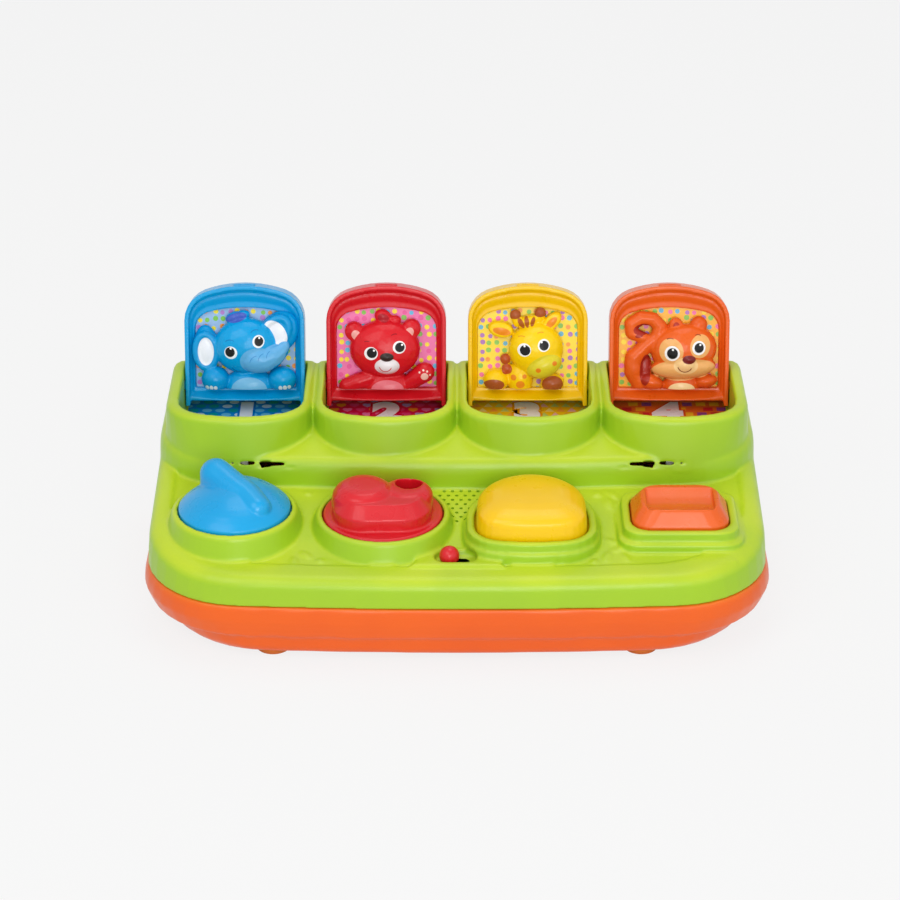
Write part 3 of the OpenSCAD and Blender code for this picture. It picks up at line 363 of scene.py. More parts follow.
def makePaintedArc():
    # a painted or moulded line along an arc: centre, radius, the way its middle faces, half its span
    tree, given, out = newGroup("paintedArc", [
        ("Vector", "Vector", None), ("Below", "Color", None), ("Paint", "Color", None), ("Centre", "Vector", None),
        ("Radius", "Float", 1.0), ("Width", "Float", 0.5), ("Facing", "Float", 0.0), ("Half Span", "Float", 45.0)],
        [("Colour", "Color", None)])
    shift = tree.nodes.new("ShaderNodeVectorMath")
    shift.operation = "SUBTRACT"
    tree.links.new(given.outputs["Vector"], shift.inputs[0])
    tree.links.new(given.outputs["Centre"], shift.inputs[1])
    turn = tree.nodes.new("ShaderNodeVectorRotate")
    turn.rotation_type = "Z_AXIS"
    tree.links.new(shift.outputs[0], turn.inputs["Vector"])
    tree.links.new(math2(tree, "MULTIPLY", given.outputs["Facing"], -math.pi / 180), turn.inputs["Angle"])
    split = tree.nodes.new("ShaderNodeSeparateXYZ")
    tree.links.new(turn.outputs[0], split.inputs[0])
    x, y = split.outputs[0], split.outputs[1]
    distance = math2(tree, "SQRT", math2(tree, "ADD", math2(tree, "MULTIPLY", x, x), math2(tree, "MULTIPLY", y, y)))
    angle = math2(tree, "ABSOLUTE", math2(tree, "ARCTAN2", y, x))
    off = math2(tree, "ABSOLUTE", math2(tree, "SUBTRACT", distance, given.outputs["Radius"]))
    half = math2(tree, "MULTIPLY", given.outputs["Width"], 0.5)
    line = mapRange(tree, off, math2(tree, "MULTIPLY", half, 0.6), half, 1.0, 0.0, True)
    span = math2(tree, "MULTIPLY", given.outputs["Half Span"], math.pi / 180)
    inside = mapRange(tree, angle, math2(tree, "MULTIPLY", span, 0.82), span, 1.0, 0.0, True)
    mask = math2(tree, "MULTIPLY", line, inside)
    tree.links.new(mixColour(tree, mask, given.outputs["Below"], given.outputs["Paint"]), out.inputs["Colour"])
    return tree


def makeFacingTint():
    # painted light: faces that look up are painted a lighter, warmer colour and upright ones a deeper painted shade, as
    # light from above would give them
    tree, given, out = newGroup("paintedTopLight", [
        ("Up", "Color", None), ("Upright", "Color", None), ("From", "Float", 0.1), ("To", "Float", 0.9)],
        [("Colour", "Color", None)])
    normal = tree.nodes.new("ShaderNodeTexCoord").outputs["Normal"]
    split = tree.nodes.new("ShaderNodeSeparateXYZ")
    tree.links.new(normal, split.inputs[0])
    mask = mapRange(tree, split.outputs[2], given.outputs["From"], given.outputs["To"], 0.0, 1.0, True)
    tree.links.new(mixColour(tree, mask, given.outputs["Upright"], given.outputs["Up"]), out.inputs["Colour"])
    return tree


def makeBrushedMetal():
    # drawn or plated metal: fine streaks in colour and gloss
    tree, given, out = newGroup("brushedMetal", [
        ("Colour", "Color", None), ("Dark", "Color", None), ("Streaks", "Vector", (1, 1, 1)), ("Roughness", "Float", 0.3)],
        [("Colour", "Color", None), ("Roughness", "Float", None), ("Normal", "Vector", None)])
    place = tree.nodes.new("ShaderNodeTexCoord").outputs["Object"]
    stretch = tree.nodes.new("ShaderNodeVectorMath")
    stretch.operation = "MULTIPLY"
    tree.links.new(place, stretch.inputs[0])
    tree.links.new(given.outputs["Streaks"], stretch.inputs[1])
    streak = noise(tree, stretch.outputs[0], 600.0, 4.0)
    mask = mapRange(tree, streak, 0.35, 0.7, 0.0, 0.6)
    tree.links.new(mixColour(tree, mask, given.outputs["Colour"], given.outputs["Dark"]), out.inputs["Colour"])
    gloss = mapRange(tree, streak, 0.3, 0.7, -0.08, 0.1)
    tree.links.new(math2(tree, "ADD", given.outputs["Roughness"], gloss, clamp=True), out.inputs["Roughness"])
    bump = tree.nodes.new("ShaderNodeBump")
    bump.inputs["Strength"].default_value = 0.2
    bump.inputs["Distance"].default_value = 0.00002
    tree.links.new(streak, bump.inputs["Height"])
    tree.links.new(bump.outputs[0], out.inputs["Normal"])
    return tree


mouldedPlastic = makeMouldedPlastic()
paintedOval = makePaintedOval()
paintedArc = makePaintedArc()
paintedTopLight = makeFacingTint()
brushedMetal = makeBrushedMetal()


# ---------- materials ----------
def useGroup(tree, group, **values):
    node = tree.nodes.new("ShaderNodeGroup")
    node.node_tree = group
    for socketName, value in values.items():
        socket = node.inputs[socketName.replace("_", " ")]
        if isinstance(value, bpy.types.NodeSocket):
            tree.links.new(value, socket)
        else:
            socket.default_value = value
    return node


def startMaterial(name, coat=0.0, coatRoughness=0.1, specular=0.5, metal=0.0):
    material = bpy.data.materials.new(name)
    material.use_nodes = True
    shader = material.node_tree.nodes["Principled BSDF"]
    shader.inputs["Coat Weight"].default_value = coat
    shader.inputs["Coat Roughness"].default_value = coatRoughness
    shader.inputs["Specular IOR Level"].default_value = specular
    shader.inputs["Metallic"].default_value = metal
    return material, material.node_tree, shader


def plastic(name, colour, tint, roughness=0.3, share=0.35, up=None, grain=2200.0, height=0.00002, **shine):
    material, tree, shader = startMaterial(name, **shine)
    base = colour
    # the up colour is painted top light: faces are tinted lighter the more they look up
    if up:
        base = useGroup(tree, paintedTopLight, Up=up, Upright=colour, From=0.2, To=0.95).outputs[0]
    skin = useGroup(tree, mouldedPlastic, Colour=base, Tint=tint, Share=share, Grain_Scale=grain, Grain_Height=height,
                    Roughness=roughness)
    tree.links.new(skin.outputs["Colour"], shader.inputs["Base Color"])
    tree.links.new(skin.outputs["Roughness"], shader.inputs["Roughness"])
    tree.links.new(skin.outputs["Normal"], shader.inputs["Normal"])
    return material


def metal(name, colour, dark, roughness, streaks=(1, 1, 1)):
    material, tree, shader = startMaterial(name, metal=1.0)
    skin = useGroup(tree, brushedMetal, Colour=colour, Dark=dark, Streaks=streaks, Roughness=roughness)
    tree.links.new(skin.outputs["Colour"], shader.inputs["Base Color"])
    tree.links.new(skin.outputs["Roughness"], shader.inputs["Roughness"])
    tree.links.new(skin.outputs["Normal"], shader.inputs["Normal"])
    return material


def placeOnDoor(number):
    # from millimetres on the door's picture, X along the hinge and Z out of it, to the open door
    return (Matrix.Scale(millimetre, 4) @ Matrix.Translation(((number - 2.5) * toy["pitch"], *toy["hinge"]))
            @ Matrix.Rotation(math.radians(90 - toy["lean"]), 4, "X"))


def pictureCoordinates(tree, number):
    # Object coordinates turned into the door's own millimetres
    place = tree.nodes.new("ShaderNodeTexCoord").outputs["Object"]
    move = tree.nodes.new("ShaderNodeMapping")
    move.inputs["Location"].default_value = [-c * millimetre for c in ((number - 2.5) * toy["pitch"], *toy["hinge"])]
    tree.links.new(place, move.inputs["Vector"])
    turn = tree.nodes.new("ShaderNodeMapping")
    turn.inputs["Rotation"].default_value = (math.radians(toy["lean"] - 90), 0, 0)
    turn.inputs["Scale"].default_value = (1000, 1000, 1000)
    tree.links.new(move.outputs[0], turn.inputs["Vector"])
    return turn.outputs[0]


palette = {
    # the second green and orange of each casing are painted top light, the lighter colour given to faces that look up
    "green": srgb(158, 198, 34), "greenPaintedTop": srgb(192, 212, 40), "greenTint": srgb(148, 188, 40),
    "orange": srgb(232, 96, 16), "orangePaintedTop": srgb(240, 120, 28), "orangeTint": srgb(222, 84, 16),
    "blue": srgb(0, 160, 220), "blueTint": srgb(0, 146, 208),
    "red": srgb(214, 24, 36), "redTint": srgb(198, 18, 30),
    "yellow": srgb(242, 196, 0), "yellowTint": srgb(236, 184, 0),
    "doorOrange": srgb(232, 98, 22), "doorOrangeTint": srgb(222, 86, 18),
    "white": srgb(246, 246, 248), "black": srgb(16, 15, 16), "glint": srgb(255, 255, 255),
}

casingShine = {"coat": 0.08, "coatRoughness": 0.25, "specular": 0.35}
pieceShine = {"coat": 0.12, "coatRoughness": 0.12, "specular": 0.35}
# the casings carry painted top light: their upward faces are tinted lighter than their upright ones
greenPlastic = plastic("greenPlastic", palette["green"], palette["greenTint"], 0.34, up=palette["greenPaintedTop"], **casingShine)
orangePlastic = plastic("orangePlastic", palette["orange"], palette["orangeTint"], 0.34, up=palette["orangePaintedTop"],
                        **casingShine)
bluePlastic = plastic("bluePlastic", palette["blue"], palette["blueTint"], 0.3, **pieceShine)
redPlastic = plastic("redPlastic", palette["red"], palette["redTint"], 0.3, **pieceShine)
yellowPlastic = plastic("yellowPlastic", palette["yellow"], palette["yellowTint"], 0.3, **pieceShine)
doorOrangePlastic = plastic("doorOrangePlastic", palette["doorOrange"], palette["doorOrangeTint"], 0.3, **pieceShine)
footRubber = plastic("footRubber", srgb(214, 120, 50), srgb(196, 104, 42), 0.75, grain=1400.0, height=0.00008, specular=0.3)
blackPlastic = plastic("blackPlastic", srgb(26, 26, 28), srgb(40, 40, 43), 0.5, grain=1500.0, height=0.00005)
boardLaminate = plastic("boardLaminate", srgb(30, 96, 56), srgb(60, 134, 74), 0.4, share=0.8, grain=700.0, height=0.00006)
latchPlastic = plastic("latchPlastic", srgb(236, 232, 218), srgb(222, 216, 198), 0.5)
conePaper = plastic("conePaper", srgb(34, 33, 35), srgb(52, 50, 52), 0.8, share=0.6, grain=3000.0, height=0.00009)
cellJacket = plastic("cellJacket", srgb(40, 42, 48), srgb(150, 108, 50), 0.3, share=0.25, coat=0.4)
screwSteel = metal("screwSteel", srgb(188, 188, 192), srgb(140, 140, 146), 0.32)
springSteel = metal("springSteel", srgb(196, 196, 202), srgb(150, 150, 158), 0.25, (1, 1, 4))
contactPlate = metal("contactPlate", srgb(214, 214, 216), srgb(176, 176, 180), 0.2, (1, 5, 1))
basketPaint = metal("basketPaint", srgb(70, 70, 74), srgb(48, 48, 52), 0.45)
magnetFerrite = plastic("magnetFerrite", srgb(84, 84, 88), srgb(60, 60, 64), 0.6, share=0.8, grain=1100.0, height=0.0001)

plainNodes = {
    "feet": footRubber, "case_screws": screwSteel, "battery_cover": orangePlastic, "battery_cover_screw": screwSteel,
    "batteries": cellJacket, "battery_contacts": contactPlate, "circuit_board": boardLaminate,
    "board_components": blackPlastic, "board_screws": screwSteel, "touch_switches": blackPlastic,
    "mode_switch": screwSteel, "speaker_frame": basketPaint, "speaker_cone": conePaper,
    "speaker_magnet": magnetFerrite, "speaker_screws": screwSteel,
}
for number in (1, 2, 3, 4):
    plainNodes[f"latch_{number}"] = latchPlastic
    for kind in ("door_spring", "return_spring", "latch_spring"):
        plainNodes[f"{kind}_{number}"] = springSteel
for nodeName, material in plainNodes.items():
    nodes[nodeName].data.materials.clear()
    nodes[nodeName].data.materials.append(material)
print("materials ready")


# ---------- casings ----------
grille = {"at": (4, -14.86), "radius": 17, "hole": 1.7, "pitch": 4.1, "plug": (18.6, 2.3), "depth": 7}


def deckHeight(y):
    return toy["deckFront"][1] + (y - toy["deckFront"][0]) * math.tan(math.radians(toy["tilt"]))


def placeOnDeck(x, y, turn=0):
    return (Matrix.Scale(millimetre, 4) @ Matrix.Translation((x, y, deckHeight(y)))
            @ Matrix.Rotation(math.radians(toy["tilt"]), 4, "X") @ Matrix.Rotation(math.radians(turn), 4, "Z"))


# low moulded leaves and pebbles on the open parts of the deck; what they keep clear of is (x, y, reach)
relief = {
    "seed": 11, "tries": 4000, "count": 46, "x": (-128, 128), "y": (-62, -6), "size": (4.2, 6.4), "height": 0.75,
    "leaf": (1.7, 0.8), "pebble": (1, 0.85), "apart": 0.75,
    "collars": [(-105.75, -30.86, 39), (-35.25, -30.86, 39), (35.25, -33, 37), (105.75, -30.86, 33)],
    "grille": (4, -14.9, 20), "platform": (0, -59, 27),
}


def deckRelief(bm):
    # each pad keeps clear of the collars, the grille, the slider's platform and the pads before it
    random.seed(relief["seed"])
    taken = relief["collars"] + [relief["grille"], relief["platform"]]
    pads = 0
    for attempt in range(relief["tries"]):
        x, y = random.uniform(*relief["x"]), random.uniform(*relief["y"])
        turn, size = random.uniform(0, 360), random.uniform(*relief["size"])
        if any(math.hypot(x - a, y - b) < c + size / 2 for a, b, c in taken) or pads == relief["count"]:
            continue
        pads += 1
        taken.append((x, y, size * relief["apart"]))
        length, width = relief["leaf" if pads % 3 else "pebble"]
        shape = Matrix.Diagonal((size * length / 2, size * width / 2, relief["height"], 1))
        bmesh.ops.create_icosphere(bm, subdivisions=3, radius=1, matrix=placeOnDeck(x, y, turn) @ shape)


upperBm = fromNode("upper_casing")
deckRelief(upperBm)
plugRadius, plugDepth = grille["plug"]  # the node's own fine holes are stopped, and cut again after the softening
bmesh.ops.create_cone(upperBm, cap_ends=True, segments=48, radius1=plugRadius, radius2=plugRadius, depth=plugDepth,
                      matrix=placeOnDeck(*grille["at"]) @ Matrix.Translation((0, 0, -plugDepth / 2)))
upperCasing = soften("greenCasing", upperBm, 0.85, 5)
grilleBm = bmesh.new()
rowPitch = grille["pitch"] * 0.866
rows = int(grille["radius"] / rowPitch)
holeRadius = grille["hole"] / 2
for row in range(-rows, rows + 1):
    for column in range(-rows, rows + 1):
        x, y = (column + 0.5 * (row % 2)) * grille["pitch"], row * rowPitch
        if math.hypot(x, y) < grille["radius"] - 1:
            bmesh.ops.create_cone(grilleBm, cap_ends=True, segments=12, radius1=holeRadius, radius2=holeRadius,
                                  depth=grille["depth"], matrix=placeOnDeck(*grille["at"]) @ Matrix.Translation((x, y, 0)))
boolean(upperCasing, fromBmesh("grilleTool", grilleBm), "DIFFERENCE")
shadeSmooth(upperCasing, 60)
dress(upperCasing, "root", "green_casing", greenPlastic, "upper_casing")
lowerCasing = soften("orangeCasing", fromNode("lower_casing"), 1.1, 4, 120000)
dress(lowerCasing, "root", "orange_casing", orangePlastic, "lower_casing")
print("casings ready:", len(upperCasing.data.polygons), len(lowerCasing.data.polygons))


# ---------- doors ----------
doorForm = {
    "outer": (27.7, -5, 48.5, 57.9, 12.9), "window": (25, -4, 39.1, 70, 9),
    "section": [(0.0, 1.4), (0.1, 1.5), (0.2, 0.4), (0.28, 1.1), (0.45, 0.6), (0.7, -0.6), (0.9, -1.2), (1.0, -2.2)],
    "voxel": 0.45, "ease": 3,
}
doorMaterials = [bluePlastic, redPlastic, yellowPlastic, doorOrangePlastic]
doorSlots = ["blue_plastic", "red_plastic", "yellow_plastic", "orange_plastic"]


def bandRing(bm):
    # the sloped band between a door's rim and its picture, as a closed ring of lofted outlines
    outer, window = archOutline(*doorForm["outer"]), archOutline(*doorForm["window"])
    stations = doorForm["section"] + [(1.0, -3.3), (0.0, -3.3)]
    loops = []
    for share, height in stations:
        outline = [(a[0] + (b[0] - a[0]) * share, a[1] + (b[1] - a[1]) * share) for a, b in zip(outer, window)]
        loops.append(outlineLoop(bm, outline, height))
    for k in range(len(loops)):
        bmesh.ops.bridge_loops(bm, edges=loops[k - 1] + loops[k])
    bmesh.ops.recalc_face_normals(bm, faces=bm.faces)


for number in (1, 2, 3, 4):
    ringBm = bmesh.new()
    bandRing(ringBm)
    bmesh.ops.transform(ringBm, matrix=placeOnDoor(number), verts=ringBm.verts)
    ringMesh = bpy.data.meshes.new("band")
    ringBm.to_mesh(ringMesh)
    ringBm.free()
    doorBm = fromNode(f"door_{number}")
    doorBm.from_mesh(ringMesh)
    bpy.data.meshes.remove(ringMesh)
    door = soften(f"door{number}", doorBm, doorForm["voxel"], doorForm["ease"], 110000)
    dress(door, f"lid_{number}", doorSlots[number - 1], doorMaterials[number - 1], f"door_{number}")
print("doors ready")


# ---------- animals ----------
def figureMaterial(name, number, skin, tint, ovals, arcs=()):
    material, tree, shader = startMaterial(name, coat=0.1, coatRoughness=0.12, specular=0.22)
    place = pictureCoordinates(tree, number)
    base = useGroup(tree, mouldedPlastic, Colour=skin, Tint=tint, Share=0.4, Roughness=0.26)
    colour = base.outputs["Colour"]
    for paint, u, v, ru, rv, turn in ovals:
        colour = useGroup(tree, paintedOval, Vector=place, Below=colour, Paint=paint, Centre=(u, v, 0),
                          Radii=(ru, rv, 1), Turn=turn, Soft=min(0.3, 0.22 / min(ru, rv))).outputs[0]
    for paint, u, v, radius, width, facing, span in arcs:
        colour = useGroup(tree, paintedArc, Vector=place, Below=colour, Paint=paint, Centre=(u, v, 0), Radius=radius,
                          Width=width, Facing=facing, Half_Span=span).outputs[0]
    tree.links.new(colour, shader.inputs["Base Color"])
    tree.links.new(base.outputs["Roughness"], shader.inputs["Roughness"])
    tree.links.new(base.outputs["Normal"], shader.inputs["Normal"])
    return material


def eye(whiteAt, whiteRadii, pupilAt, pupilRadii, glintAt, glint):
    return [(palette["white"], *whiteAt, *whiteRadii, 0), (palette["black"], *pupilAt, *pupilRadii, 0),
            (palette["glint"], *glintAt, glint, glint, 0)]


figures = {
    "elephant": {
        "forms": [((0.4, 20.2, 0.8), (16, 14.2, 9.8), 6), ((-19.2, 18.4, -0.4), (6.4, 12.2, 4.6), 4),
                  ((16.6, 26.4, 0), (9.6, 12.2, 4.8), -38), ((2, 0, -1), (13, 8.6, 7.5), 0),
                  ((-15, 3.4, 1.4), (7, 6.6, 7), 0), ((18.4, 3.4, 1.4), (7.2, 6.6, 7), 0),
                  ((-5.6, 34.6, 0.6), (4.4, 2.4, 3.2), 24), ((-1, 35.6, 0.6), (3.8, 2.4, 3), 10),
                  ((6.6, 13.8, 5), (9, 6.9, 6.4), 0)],
        "tubes": [[(9.5, 13.4, 5, 6.4), (14, 15.2, 5, 5.6), (17.6, 17.6, 4.6, 4.2), (20.2, 20.4, 4.2, 2.5)]],
        "rims": [((-19.4, 17.6, 2.6), 5.0, 8.4, 2.0, 4), ((15.2, 27, 3), 5.6, 8.2, 2.2, -38)],
        "skin": srgb(0, 158, 219), "tint": srgb(0, 140, 205),
        "ovals": [(srgb(236, 238, 246), -19.3, 17.6, 4.1, 7.2, 0), (srgb(236, 238, 246), 15.6, 27, 4.9, 7.4, 38),
                  (srgb(0, 158, 219), 0.4, 20.6, 15.4, 13.8, 6), (srgb(116, 184, 226), 2, -1.6, 9, 6.4, 0),
                  (srgb(70, 96, 190), -4, 34.6, 5.6, 2.4, 14),
                  (srgb(96, 172, 222), 6.8, 13.4, 8.9, 7, 0), (srgb(96, 172, 222), 14, 16, 7.2, 5.2, 28),
                  (srgb(96, 172, 222), 19, 19.6, 4, 2.9, 45),
                  (srgb(240, 240, 246), -18.8, -0.3, 1.1, 1.3, 0), (srgb(240, 240, 246), -16.6, -0.3, 1.1, 1.4, 0),
                  (srgb(240, 240, 246), -14.5, -0.3, 1, 1.2, 0), (srgb(240, 240, 246), 17.8, -0.3, 1.1, 1.3, 0),
                  (srgb(240, 240, 246), 20, -0.2, 1.1, 1.4, 0), (srgb(240, 240, 246), 22.1, 0, 1, 1.2, 0)]
        + eye((-6.5, 17.9), (3.4, 3.3), (-6.9, 18.2), (2.55, 2.6), (-6.5, 20.1), 0.6)
        + eye((7.3, 23.5), (3, 3.3), (7.5, 23.6), (2.3, 2.5), (7.7, 25.3), 0.55),
        "arcs": [(srgb(20, 96, 150), -1.8, 12.6, 5.2, 0.5, -118, 32), (srgb(50, 132, 196), 7, 12.6, 4, 0.4, 135, 40),
                 (srgb(50, 132, 196), 11, 14, 3.8, 0.4, 145, 38), (srgb(50, 132, 196), 14.6, 15.8, 3.3, 0.4, 155, 36),
                 (srgb(0, 118, 184), -6.8, 21, 3.3, 0.5, 95, 44), (srgb(0, 118, 184), 6, 26.2, 3, 0.5, 105, 44)],
    },
    "bear": {
        "forms": [((-0.7, 18.6, 0.8), (17.8, 14.8, 10), 0), ((-16, 27.4, 0.4), (4.8, 5, 4.6), 0),
                  ((12.6, 28.8, 0.4), (4.8, 5, 4.6), 0), ((0.6, 11.6, 6), (6.4, 4.9, 5), 0),
                  ((0.5, 15.8, 9.2), (3.5, 2.3, 2.6), 0), ((0.6, -1, -1), (13, 8.6, 7.5), 0),
                  ((-1.6, 34.8, 0.4), (4.4, 3.6, 3.4), -20), ((4.4, 33.4, 0.4), (3.2, 2, 2.6), -10)],
        "tubes": [[(-8, 3.8, 1, 4.4), (-14, 2, 1.4, 4.6), (-19.6, -0.4, 1, 4.4)],
                  [(10.5, 1, 0.6, 4), (15, 4, 1.8, 4.6), (19, 6.8, 2, 5.3)]],
        "rims": [((-16, 27.2, 2.4), 3, 3.2, 1.5, 0), ((12.6, 28.6, 2.4), 3, 3.2, 1.5, 0)],
        "skin": srgb(216, 26, 38), "tint": srgb(194, 16, 30),
        "ovals": [(srgb(240, 168, 160), -15, 26, 2.3, 2.6, 25), (srgb(240, 168, 160), 11.6, 27.4, 2.2, 2.6, -25),
                  (srgb(216, 26, 38), -0.7, 18.2, 16.6, 13.8, 0), (srgb(228, 112, 124), 0.6, -1.8, 8.4, 5.3, 0),
                  (srgb(170, 20, 34), -1.4, 34.4, 3, 2.2, -20),
                  (srgb(240, 234, 238), 0.5, 11, 6.3, 4.4, 0), (srgb(54, 42, 38), 0.4, 15.9, 3.6, 2.3, 0),
                  (srgb(246, 196, 182), 19.1, 5.4, 2, 1.9, 0), (srgb(250, 226, 214), 16.6, 7.5, 0.55, 0.6, 0),
                  (srgb(250, 226, 214), 18.5, 8.6, 0.6, 0.6, 0), (srgb(250, 226, 214), 20.4, 8, 0.55, 0.6, 0),
                  (srgb(250, 226, 214), 21.8, 6.2, 0.55, 0.6, 0)]
        + eye((-7.4, 17.6), (3.5, 3.4), (-7, 17.9), (2.65, 2.65), (-5.9, 19.2), 0.6)
        + eye((6.6, 20.7), (3.25, 3.25), (6.9, 20.7), (2.5, 2.5), (8, 21.9), 0.6),
        "arcs": [(srgb(206, 40, 50), -0.3, 11.6, 3.1, 0.6, -92, 80), (srgb(150, 14, 28), -9.2, 20.4, 3.2, 0.5, 95, 26),
                 (srgb(150, 14, 28), 4.6, 24, 3.2, 0.5, 100, 30)],
    },
    "giraffe": {
        "forms": [((4.2, 18.4, 0.8), (13.7, 13.4, 10), 10), ((8, 11, 4.6), (9.6, 6.4, 6.6), 25),
                  ((-3.6, 3.6, -0.6), (6.6, 9, 6.6), 0), ((-13.4, 28.4, 0), (6.6, 4.2, 3.8), -12),
                  ((12, 32.2, 0), (6, 3.6, 3.6), 45), ((-11, 13.2, -0.2), (2.8, 2.8, 3.2), 0),
                  ((-10.2, 8.4, -0.2), (2.8, 2.8, 3.2), 0), ((-15.8, 2.6, 1), (6.4, 5.8, 6.2), 0),
                  ((12.4, 1.4, 1), (6, 5, 6.4), 0), ((-0.4, 32.6, 1), (5.6, 2.6, 4), 14)],
        "tubes": [[(-5.4, 31, 0.6, 1.8), (-6.2, 35.6, 0.8, 2.9)], [(5.4, 32, 0.6, 1.8), (6.2, 36.6, 0.8, 3)]],
        "rims": [((-13.4, 28.2, 1.8), 4.8, 2.6, 1.4, -12), ((12, 32.2, 1.8), 4.2, 2.2, 1.3, 45)],
        "skin": srgb(250, 208, 12), "tint": srgb(244, 190, 6),
        "ovals": [(srgb(236, 140, 34), -13, 27.6, 4.8, 2, -12), (srgb(236, 140, 34), 11.7, 32, 3.9, 1.8, 45),
                  (srgb(250, 208, 12), 4.2, 18.8, 13.3, 12.6, 10),
                  (srgb(168, 84, 40), -6.3, 36.6, 4.2, 2.9, 10), (srgb(168, 84, 40), 6.2, 37.6, 4.4, 2.9, 0),
                  (srgb(176, 96, 40), -3.4, 31.8, 1.4, 3, 30), (srgb(176, 96, 40), -0.6, 32.6, 1.3, 3.2, 8),
                  (srgb(176, 96, 40), 2.4, 32.6, 1.2, 2.6, -16),
                  (srgb(222, 206, 44), 8, 10.6, 9.2, 5.7, 25), (srgb(232, 130, 26), 5.1, 9.2, 1.4, 1.3, 0),
                  (srgb(232, 130, 26), 13.2, 12.6, 1.3, 1.3, 0), (srgb(186, 84, 40), -11.2, 13.4, 2.8, 2.8, 0),
                  (srgb(186, 84, 40), -10.4, 8.4, 2.7, 2.7, 0), (srgb(236, 140, 34), -7.1, 4.6, 1.5, 1.6, 0),
                  (srgb(236, 140, 34), -3.7, 1.1, 2.3, 2, 0), (srgb(236, 140, 34), -1.6, 5.2, 1.2, 1.2, 0),
                  (srgb(168, 84, 40), -16.8, 0.9, 5.4, 3.2, 0), (srgb(168, 84, 40), 12.4, 1.2, 5.4, 4.4, 0)]
        + eye((-1.9, 19.3), (3.45, 3.45), (-1.5, 19.2), (2.7, 2.7), (-1.8, 21.3), 0.6)
        + eye((7.8, 21.7), (3.1, 3.25), (7.9, 21.6), (2.45, 2.5), (6.7, 23.3), 0.55),
        "arcs": [(srgb(214, 130, 30), 4, 8.4, 3.2, 0.5, -110, 34), (srgb(232, 150, 30), -3, 22.8, 3.2, 0.5, 95, 34),
                 (srgb(232, 150, 30), 6.4, 25, 3, 0.5, 95, 34)],
    },
    "squirrel": {
        "forms": [((7.3, 18.4, 0.9), (16.6, 13, 10), 6), ((7.1, 9.8, 2.6), (16.4, 6.2, 7.6), 3),
                  ((7.8, 11.6, 6.2), (6.4, 4.6, 5), 0), ((9.4, 14.5, 9), (3.3, 2.3, 2.5), 0),
                  ((3.2, 30.4, 0.4), (3.6, 4, 3.8), 0), ((14.6, 30.6, 0.4), (4.4, 4.4, 3.8), -20),
                  ((6.4, -0.6, -1), (9.6, 8, 7.2), 0), ((-8.6, 1.8, 1.4), (6.2, 4, 5.2), -18),
                  ((18.6, 2.4, 1.4), (5.8, 3.4, 5), 6), ((-17.6, 9, 0.2), (4.6, 9.6, 4.6), 6),
                  ((-12, 7.6, -1.6), (4, 8.6, 3.4), 0)],
        "tubes": [[(-14.5, 0.4, 0, 4), (-18, 7, 0.2, 4.4), (-17.4, 14, 0.4, 4.6), (-12, 19.4, 0.4, 4), (-6, 24.4, 0.4, 3.8),
                   (-4.4, 29.6, 0.4, 3.6), (-8.2, 33.4, 0.4, 3.6), (-14, 34, 0.4, 3.6), (-19, 30.8, 0.4, 3.6),
                   (-18.6, 26.4, 0.4, 3.4), (-13, 24, 1, 3.2)]],
        "rims": [((3.2, 30.4, 2.2), 2.2, 2.6, 1.3, 0)],
        "skin": srgb(232, 98, 28), "tint": srgb(218, 84, 22),
        "ovals": [(srgb(170, 46, 32), -11.8, 8.2, 2.9, 8, -4), (srgb(170, 46, 32), -13.4, 28.6, 4.8, 2.9, 10),
                  (srgb(170, 46, 32), -15, 25.6, 2.4, 1.2, 20), (srgb(176, 50, 34), 3.3, 30.4, 1.7, 2.1, 0),
                  (srgb(232, 98, 28), 7.3, 18.6, 16.2, 12.6, 6),
                  (srgb(238, 176, 104), 7, 8.9, 16.3, 5.9, 4), (srgb(238, 176, 104), 0.6, 18.6, 6, 6.6, 10),
                  (srgb(238, 176, 104), 14.9, 21, 5.2, 6, -10), (srgb(244, 202, 140), 7.9, 11.4, 6.2, 4.4, 0),
                  (srgb(120, 34, 34), 9.4, 14.6, 3.5, 2.3, 0), (srgb(246, 212, 156), 6.3, -1.6, 6.9, 3.8, 0)]
        + eye((1, 17.6), (3.8, 3.9), (1.1, 17.6), (2.8, 2.9), (1.3, 19.5), 0.6)
        + eye((14.2, 20.3), (3.45, 3.6), (14.3, 20.4), (2.5, 2.6), (14.9, 21.9), 0.6),
        "arcs": [(srgb(126, 54, 30), 7.4, 12, 3.7, 0.6, -95, 72), (srgb(150, 60, 26), 0.2, 21.8, 3.2, 0.5, 95, 34),
                 (srgb(150, 60, 26), 13.6, 24, 2.8, 0.5, 85, 34)],
    },
}
figureSlots = {"elephant": "elephant_blue", "bear": "bear_red", "giraffe": "giraffe_yellow", "squirrel": "squirrel_orange"}
ledge = {"picture": -2.6, "foot": -1.25}  # the figures stand on these, in the door's millimetres

